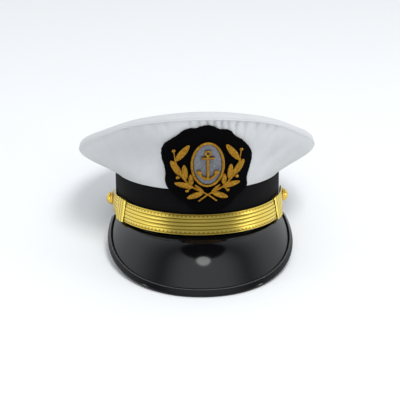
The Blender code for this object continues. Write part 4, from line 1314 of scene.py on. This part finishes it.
# Wool felt is a mat of fibres with no weave. It swallows light, and only its nap shows at a grazing angle.
def wool_felt():
    material, tree, shader = finish_material("black_wool_felt", {
        "Roughness": 0.95, "Specular IOR Level": 0.02, "Sheen Weight": 0.01, "Sheen Roughness": 0.6})
    place = add_node(tree, "TexCoord").outputs["Object"]
    nap = add_node(tree, "TexNoise", None, {"Vector": place, "Scale": 900.0, "Detail": 4.0}).outputs["Fac"]
    shades = add_node(tree, "MixRGB", None, {
        "Fac": nap, "Color1": linear("#020203"), "Color2": linear("#070708")})
    bump = add_node(tree, "Bump", None, {"Height": nap, "Strength": 0.8, "Distance": 0.3 * MM})
    tree.links.new(shades.outputs[0], shader.inputs["Base Color"])
    tree.links.new(bump.outputs[0], shader.inputs["Normal"])
    return material


felt_patch = make_surface("black_felt_patch", felt_grid(), wrap_columns=True, ends=("first", "last"))
dress(felt_patch, wool_felt(), "black_felt", "badge_backing")

# %% [markdown]
# ## The silver field and its gold ring
#
# The oval field is couched silver thread: short pieces of coiled wire, laid side by side, so that it glitters
# in points. The ring round it is bullion, gilt wire coiled like a spring, sewn down in two rows. Both lie on
# the felt, so they are drawn flat and bent over the cap by the badge's function.

# %% The field
OVAL_HALF_WIDTH = 14.3 * MM
OVAL_HALF_HEIGHT = 21.9 * MM
OVAL_RAISE = 6.7 * MM
RING_RADIUS = 1.3 * MM
FIELD_WALL = 1.0 * MM
CHIP_PITCH = 1.15 * MM


def field_grid(columns=220):
    """Rings from the middle to the edge and back behind, with chips of wire raised in a woven pattern."""
    face = np.linspace(0.015, 1, 56)
    share = np.concatenate([face, face[::-9]])[:, None]
    turn = ring_angles(columns)[None]
    inside = RING_RADIUS + PIECE_GAP
    across = (OVAL_HALF_WIDTH - inside) * share * np.sin(turn)
    up = (OVAL_HALF_HEIGHT - inside) * share * np.cos(turn)
    low = FELT_FACE + PIECE_GAP
    chips = np.sin(2 * math.pi * across / CHIP_PITCH + 2.1 * np.sin(up / CHIP_PITCH * 1.7))
    chips = chips * np.sin(2 * math.pi * up / (1.7 * CHIP_PITCH) + 1.6 * np.sin(across / CHIP_PITCH * 2.3))
    level = np.where(np.arange(len(share))[:, None] < len(face), low + FIELD_WALL + 0.14 * MM * chips, low)
    return badge_point(across, OVAL_RAISE + up, level)


# Silver thread is tarnished a little and grey. Its colour lightens in a fine random cell pattern, painted
# glints of the wire, under a soft cloud of tone.
def silver_thread():
    material, tree, shader = finish_material("couched_silver_thread", {
        "Metallic": 0.55, "Roughness": 0.45})
    place = add_node(tree, "TexCoord").outputs["Object"]
    # The cell pattern lightens the colour in fine specks: painted glints on the couched wire.
    painted_glints = add_node(tree, "TexVoronoi", None, {"Vector": place, "Scale": 1100.0})
    cloud = add_node(tree, "TexNoise", None, {"Vector": place, "Scale": 420.0, "Detail": 3.0}).outputs["Fac"]
    mixed = add_node(tree, "Math", {"operation": "MULTIPLY_ADD"}, {
        0: painted_glints.outputs["Distance"], 1: 0.5, 2: cloud})
    shades = add_node(tree, "MixRGB", None, {
        "Fac": mixed.outputs[0], "Color1": linear("#34363B"), "Color2": linear("#7C7E85")})
    bump = add_node(tree, "Bump", None, {"Height": mixed.outputs[0], "Strength": 0.8, "Distance": 0.3 * MM})
    tree.links.new(shades.outputs[0], shader.inputs["Base Color"])
    tree.links.new(bump.outputs[0], shader.inputs["Normal"])
    return material


silver_field = make_surface("silver_field", field_grid(), wrap_columns=True, ends=("first", "last"))
dress(silver_field, silver_thread(), "silver_thread", "badge_field")


# %% Cords of bullion laid on the felt
def path_sides(across, up, closed):
    """The unit vector to the left of a flat path at each point, by central differences."""
    if closed:
        run, rise = (np.roll(part, -1) - np.roll(part, 1) for part in (across, up))
    else:
        run, rise = np.gradient(across), np.gradient(up)
    size = np.hypot(run, rise)
    return -rise / size, run / size


def cord_grid(across, up, radius, level, pitch, depth=0.13, around=14, closed=False, groove=0.0):
    """Rings round a flat path. The radius swells by a sine that winds round once every pitch of length."""
    steps = np.hypot(np.diff(across), np.diff(up))
    length = np.concatenate([[0], np.cumsum(steps)])
    if closed:
        whole = length[-1] + math.hypot(across[0] - across[-1], up[0] - up[-1])
        pitch = whole / round(whole / pitch)
    side_across, side_up = path_sides(across, up, closed)
    turn = ring_angles(around)[None]
    away = np.abs(turned_back(turn - math.pi / 2))
    coil = depth * np.sin(2 * math.pi * length[:, None] / pitch + turn)
    swell = 1 + coil - groove * np.exp(-(away / 0.45) ** 2)
    reach = np.broadcast_to(radius, length.shape)[:, None] * swell
    lift = level + reach * np.sin(turn)
    return across[:, None] + side_across[:, None] * reach * np.cos(turn), \
        up[:, None] + side_up[:, None] * reach * np.cos(turn), lift


def smooth_path(points, spacing=0.25 * MM):
    """A Catmull-Rom curve through a few points, read at even steps."""
    points = np.array(points, float)
    padded = np.concatenate([[2 * points[0] - points[1]], points, [2 * points[-1] - points[-2]]])
    place = np.linspace(0, len(points) - 1, 60 * (len(points) - 1))
    row = np.minimum(place.astype(int), len(points) - 2)
    curve = catmull_rom(*[padded[row + step] for step in range(4)], (place - row)[:, None])
    length = np.concatenate([[0], np.cumsum(np.linalg.norm(np.diff(curve, axis=0), axis=1))])
    even = np.linspace(0, length[-1], max(4, int(length[-1] / spacing)))
    return np.interp(even, length, curve[:, 0]), np.interp(even, length, curve[:, 1])


# Bullion is gilt wire coiled tight as a spring. Its colour runs from dark brown to bright gold in fine
# random specks: painted glints on the coils and painted shade between them.
def gold_bullion():
    material, tree, shader = finish_material("gilt_bullion_wire", {
        "Metallic": 0.9, "Roughness": 0.33})
    place = add_node(tree, "TexCoord").outputs["Object"]
    # Fine noise sets the colour from dark to bright in specks: painted glints and painted shade of the coils.
    painted_glint_speckle = add_node(tree, "TexNoise", None, {"Vector": place, "Scale": 950.0, "Detail": 2.0}).outputs["Fac"]
    painted_glint_share = add_node(tree, "MapRange", None, {"Value": painted_glint_speckle, "From Min": 0.3, "From Max": 0.65}).outputs[0]
    wire = add_node(tree, "TexNoise", None, {"Vector": place, "Scale": 1700.0, "Detail": 2.0}).outputs["Fac"]
    gold = add_node(tree, "MixRGB", None, {
        "Fac": painted_glint_share, "Color1": linear("#6E4A10"), "Color2": linear("#B98A2C")})
    bump = add_node(tree, "Bump", None, {"Height": wire, "Strength": 0.3, "Distance": 0.2 * MM})
    tree.links.new(gold.outputs[0], shader.inputs["Base Color"])
    tree.links.new(bump.outputs[0], shader.inputs["Normal"])
    return material


bullion = gold_bullion()
BULLION_PITCH = 1.25 * MM
FINE_PITCH = 0.9 * MM
ring_turn = ring_angles(500)
ring_grid = cord_grid(
    OVAL_HALF_WIDTH * np.sin(ring_turn), OVAL_RAISE + OVAL_HALF_HEIGHT * np.cos(ring_turn),
    RING_RADIUS, FELT_FACE + PIECE_GAP + RING_RADIUS, BULLION_PITCH, closed=True, groove=0.28)
gold_ring = make_surface("gold_ring", badge_point(*ring_grid), wrap_rows=True, wrap_columns=True)
dress(gold_ring, bullion, "gold_bullion", "badge_ring")

# %% [markdown]
# ## The laurel sprays
#
# Two sprays of laurel cross under the oval. A leaf is padded and then covered with bullion laid slanting from
# its vein to its edge, so its face is two rows of slanting ridges. Each leaf is a grid along its length and
# round its section: the width follows a sine that is drawn out to a point, the section is a low dome with
# a groove at the vein, and the ridges are a sine of the place along and across.

# %% The table of leaves, berries and the stem
LEAF_THICKNESS = 2.2 * MM
LEAF_RIDGE_PITCH = 1.4 * MM
LEAF_RIDGE = 0.3
STEM_RADIUS = 0.9 * MM
BERRY_RADIUS = 1.7 * MM
Leaf = namedtuple("Leaf", "base_across base_up tip_across tip_up width")
LEAVES = (
    Leaf(-0.67, 0.24, -0.39, 0.61, 0.15), Leaf(-0.56, -0.11, -0.78, 0.24, 0.15),
    Leaf(-0.47, -0.22, -0.50, 0.15, 0.13), Leaf(-0.34, -0.33, -0.36, -0.07, 0.11),
    Leaf(-0.30, -0.385, -0.70, -0.29, 0.14), Leaf(-0.09, -0.515, -0.43, -0.66, 0.14),
    Leaf(-0.08, -0.515, -0.27, -0.32, 0.08),
)
Berry = namedtuple("Berry", "across up stem_across stem_up")
BERRIES = (
    Berry(-0.72, 0.47, -0.69, 0.27), Berry(-0.63, -0.16, -0.55, -0.13), Berry(-0.43, -0.48, -0.34, -0.39),
)
StemPoint = namedtuple("StemPoint", "across up")
STEM = (
    StemPoint(0.19, -0.72), StemPoint(0.0, -0.57), StemPoint(-0.29, -0.40),
    StemPoint(-0.49, -0.20), StemPoint(-0.64, 0.04), StemPoint(-0.69, 0.28),
)
SPRAY_LEVEL = FELT_FACE + PIECE_GAP + LEAF_THICKNESS / 2
BADGE_SIZE = np.array([BADGE_HALF_WIDTH, BADGE_HALF_HEIGHT])


def leaf_stack(side, rows=84, around=30):
    """A spray's leaves: base + along x length x s + across x half width x w(s) x cos t, lifted by sin t."""
    table = np.array(LEAVES)
    base = table[:, 0:2] * BADGE_SIZE * [side, 1]
    tip = table[:, 2:4] * BADGE_SIZE * [side, 1]
    along = tip - base
    length = np.linalg.norm(along, axis=1)[:, None, None]
    unit_along = (along / length[:, 0])[:, None, None]
    unit_side = np.stack([-unit_along[..., 1], unit_along[..., 0]], axis=-1)
    share = np.linspace(0.01, 0.99, rows)[None, :, None]
    turn = ring_angles(around)[None, None]
    outline = np.sin(math.pi * share ** 0.9) ** 0.5
    half_width = table[:, 4][:, None, None] * BADGE_HALF_WIDTH / 2 * outline
    flat = np.cos(turn)
    slant = (length * share - 0.9 * half_width * np.abs(flat)) / LEAF_RIDGE_PITCH
    ridge = 1 + LEAF_RIDGE * np.sin(2 * math.pi * slant)
    vein = 1 - 0.42 * np.exp(-(flat / 0.16) ** 2)
    dome = np.sin(turn) * LEAF_THICKNESS / 2 * outline ** 0.5
    lift = SPRAY_LEVEL + np.where(np.sin(turn) > 0, dome * ridge * vein, dome)
    spine = base[:, None, None] + unit_along * (length * share)[..., None]
    place = spine + unit_side * (half_width * flat)[..., None]
    return badge_point(place[..., 0], place[..., 1], lift)


def berry_stack(side, rows=13, around=18):
    """Domes of coiled wire: rings of radius sin and lift cos, with a ridge that winds down."""
    table = np.array(BERRIES)
    centre = (table[:, 0:2] * BADGE_SIZE * [side, 1])[:, None, None]
    fall = np.linspace(0.12, math.pi - 0.12, rows)[None, :, None]
    turn = ring_angles(around)[None, None]
    ridge = 1 + 0.09 * np.sin(5 * fall + turn)
    reach = BERRY_RADIUS * np.sin(fall) * ridge
    place = np.stack([reach * np.cos(turn), reach * np.sin(turn)], axis=-1) + centre
    lift = np.broadcast_to(SPRAY_LEVEL + LEAF_THICKNESS / 2 * np.cos(fall), place.shape[:-1])
    return badge_point(place[..., 0], place[..., 1], lift)


def joined(name, shapes, **options):
    """Makes each shape of a piece and joins them into one object."""
    made = [make_surface(name, shape, **options) for shape in shapes]
    with bpy.context.temp_override(active_object=made[0], selected_editable_objects=made):
        bpy.ops.object.join()
    return made[0]


def spray_shapes(side):
    """The stem, the leaves, the berries and a fine stem for each berry."""
    stem = np.array(STEM) * BADGE_SIZE * [side, 1]
    level = SPRAY_LEVEL - side * STEM_RADIUS / 3
    shapes = [badge_point(*cord_grid(*smooth_path(stem), STEM_RADIUS, level, BULLION_PITCH))]
    shapes.append(leaf_stack(side))
    shapes.append(berry_stack(side))
    for berry in BERRIES:
        ends = np.array([[berry.stem_across, berry.stem_up], [berry.across, berry.up]])
        path = smooth_path(ends * BADGE_SIZE * [side, 1])
        shapes.append(badge_point(*cord_grid(*path, 0.6 * STEM_RADIUS, SPRAY_LEVEL, FINE_PITCH)))
    return shapes


gold_wreath = joined("gold_laurel_wreath", spray_shapes(1) + spray_shapes(-1),
                     wrap_columns=True, ends=("first", "last"))
dress(gold_wreath, bullion, "gold_bullion", "badge_wreath")

# %% [markdown]
# ## The anchor
#
# A plain upright anchor stands on the field. Its shank, stock and curved arms are cords of bullion, its ring
# is a thin closed cord, and each arm ends in a small padded fluke, made as the leaves are.

# %% The anchor's cords
ANCHOR_HALF_HEIGHT = 14.5 * MM
ANCHOR_HALF_WIDTH = 8.2 * MM
ANCHOR_RADIUS = 1.3 * MM
ANCHOR_PITCH = 1.0 * MM
ANCHOR_LEVEL = FELT_FACE + 2 * PIECE_GAP + FIELD_WALL + ANCHOR_RADIUS
FLUKE_HALF_LENGTH = 0.16 * ANCHOR_HALF_HEIGHT
anchor_size = np.array([ANCHOR_HALF_WIDTH, ANCHOR_HALF_HEIGHT])


def anchor_cord(points, radius):
    """A cord through places given as shares of the anchor's half size."""
    path = np.array(points) * anchor_size + [0, OVAL_RAISE]
    return badge_point(*cord_grid(*smooth_path(path), radius, ANCHOR_LEVEL, ANCHOR_PITCH))


def anchor_arms():
    """An arc of 136 degrees: across = 1.05 sin t, up = -0.25 - 0.72 cos t."""
    turn = np.radians(np.linspace(-68, 68, 9))
    return np.stack([1.05 * np.sin(turn), -0.25 - 0.72 * np.cos(turn)], axis=1)


def fluke_grid(tip, rows=16, around=16):
    """A small padded leaf, upright about the arm's tip."""
    share = np.linspace(-0.96, 0.96, rows)[:, None]
    turn = ring_angles(around)[None]
    outline = np.sqrt(1 - share * share)
    across = tip[0] + 1.9 * ANCHOR_RADIUS * outline * np.cos(turn)
    up = tip[1] + FLUKE_HALF_LENGTH * share + 0 * turn
    ridge = 1 + 0.12 * np.sin(2 * math.pi * share * FLUKE_HALF_LENGTH / FINE_PITCH)
    return badge_point(across, up, ANCHOR_LEVEL + ANCHOR_RADIUS * outline * ridge * np.sin(turn))


arms = anchor_arms()
eye_turn = ring_angles(60)
eye_grid = cord_grid(
    0.26 * ANCHOR_HALF_WIDTH * np.sin(eye_turn),
    OVAL_RAISE + (0.84 + 0.15 * np.cos(eye_turn)) * ANCHOR_HALF_HEIGHT,
    0.75 * ANCHOR_RADIUS, ANCHOR_LEVEL, FINE_PITCH, closed=True)
anchor_shapes = [anchor_cord([(0, 0.72), (0, -0.97)], ANCHOR_RADIUS)]
anchor_shapes.append(anchor_cord([(-0.72, 0.5), (0.72, 0.5)], 0.9 * ANCHOR_RADIUS))
anchor_shapes.append(anchor_cord(arms, ANCHOR_RADIUS))
for tip in (arms[0], arms[-1]):
    anchor_shapes.append(fluke_grid(tip * anchor_size + [0, OVAL_RAISE]))
gold_anchor = joined("gold_anchor", anchor_shapes, wrap_columns=True, ends=("first", "last"))
dress(gold_anchor, bullion, "gold_bullion", "badge_anchor")
anchor_eye = make_surface("gold_anchor_eye", badge_point(*eye_grid), wrap_rows=True, wrap_columns=True)
dress(anchor_eye, bullion, "gold_bullion")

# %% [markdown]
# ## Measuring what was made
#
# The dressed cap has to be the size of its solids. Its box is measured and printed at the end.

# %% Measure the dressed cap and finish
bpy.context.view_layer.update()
dressed_box = np.array([list(corner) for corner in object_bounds()])
print("The dressed cap measures", np.ptp(dressed_box, axis=0).round(4), "m")
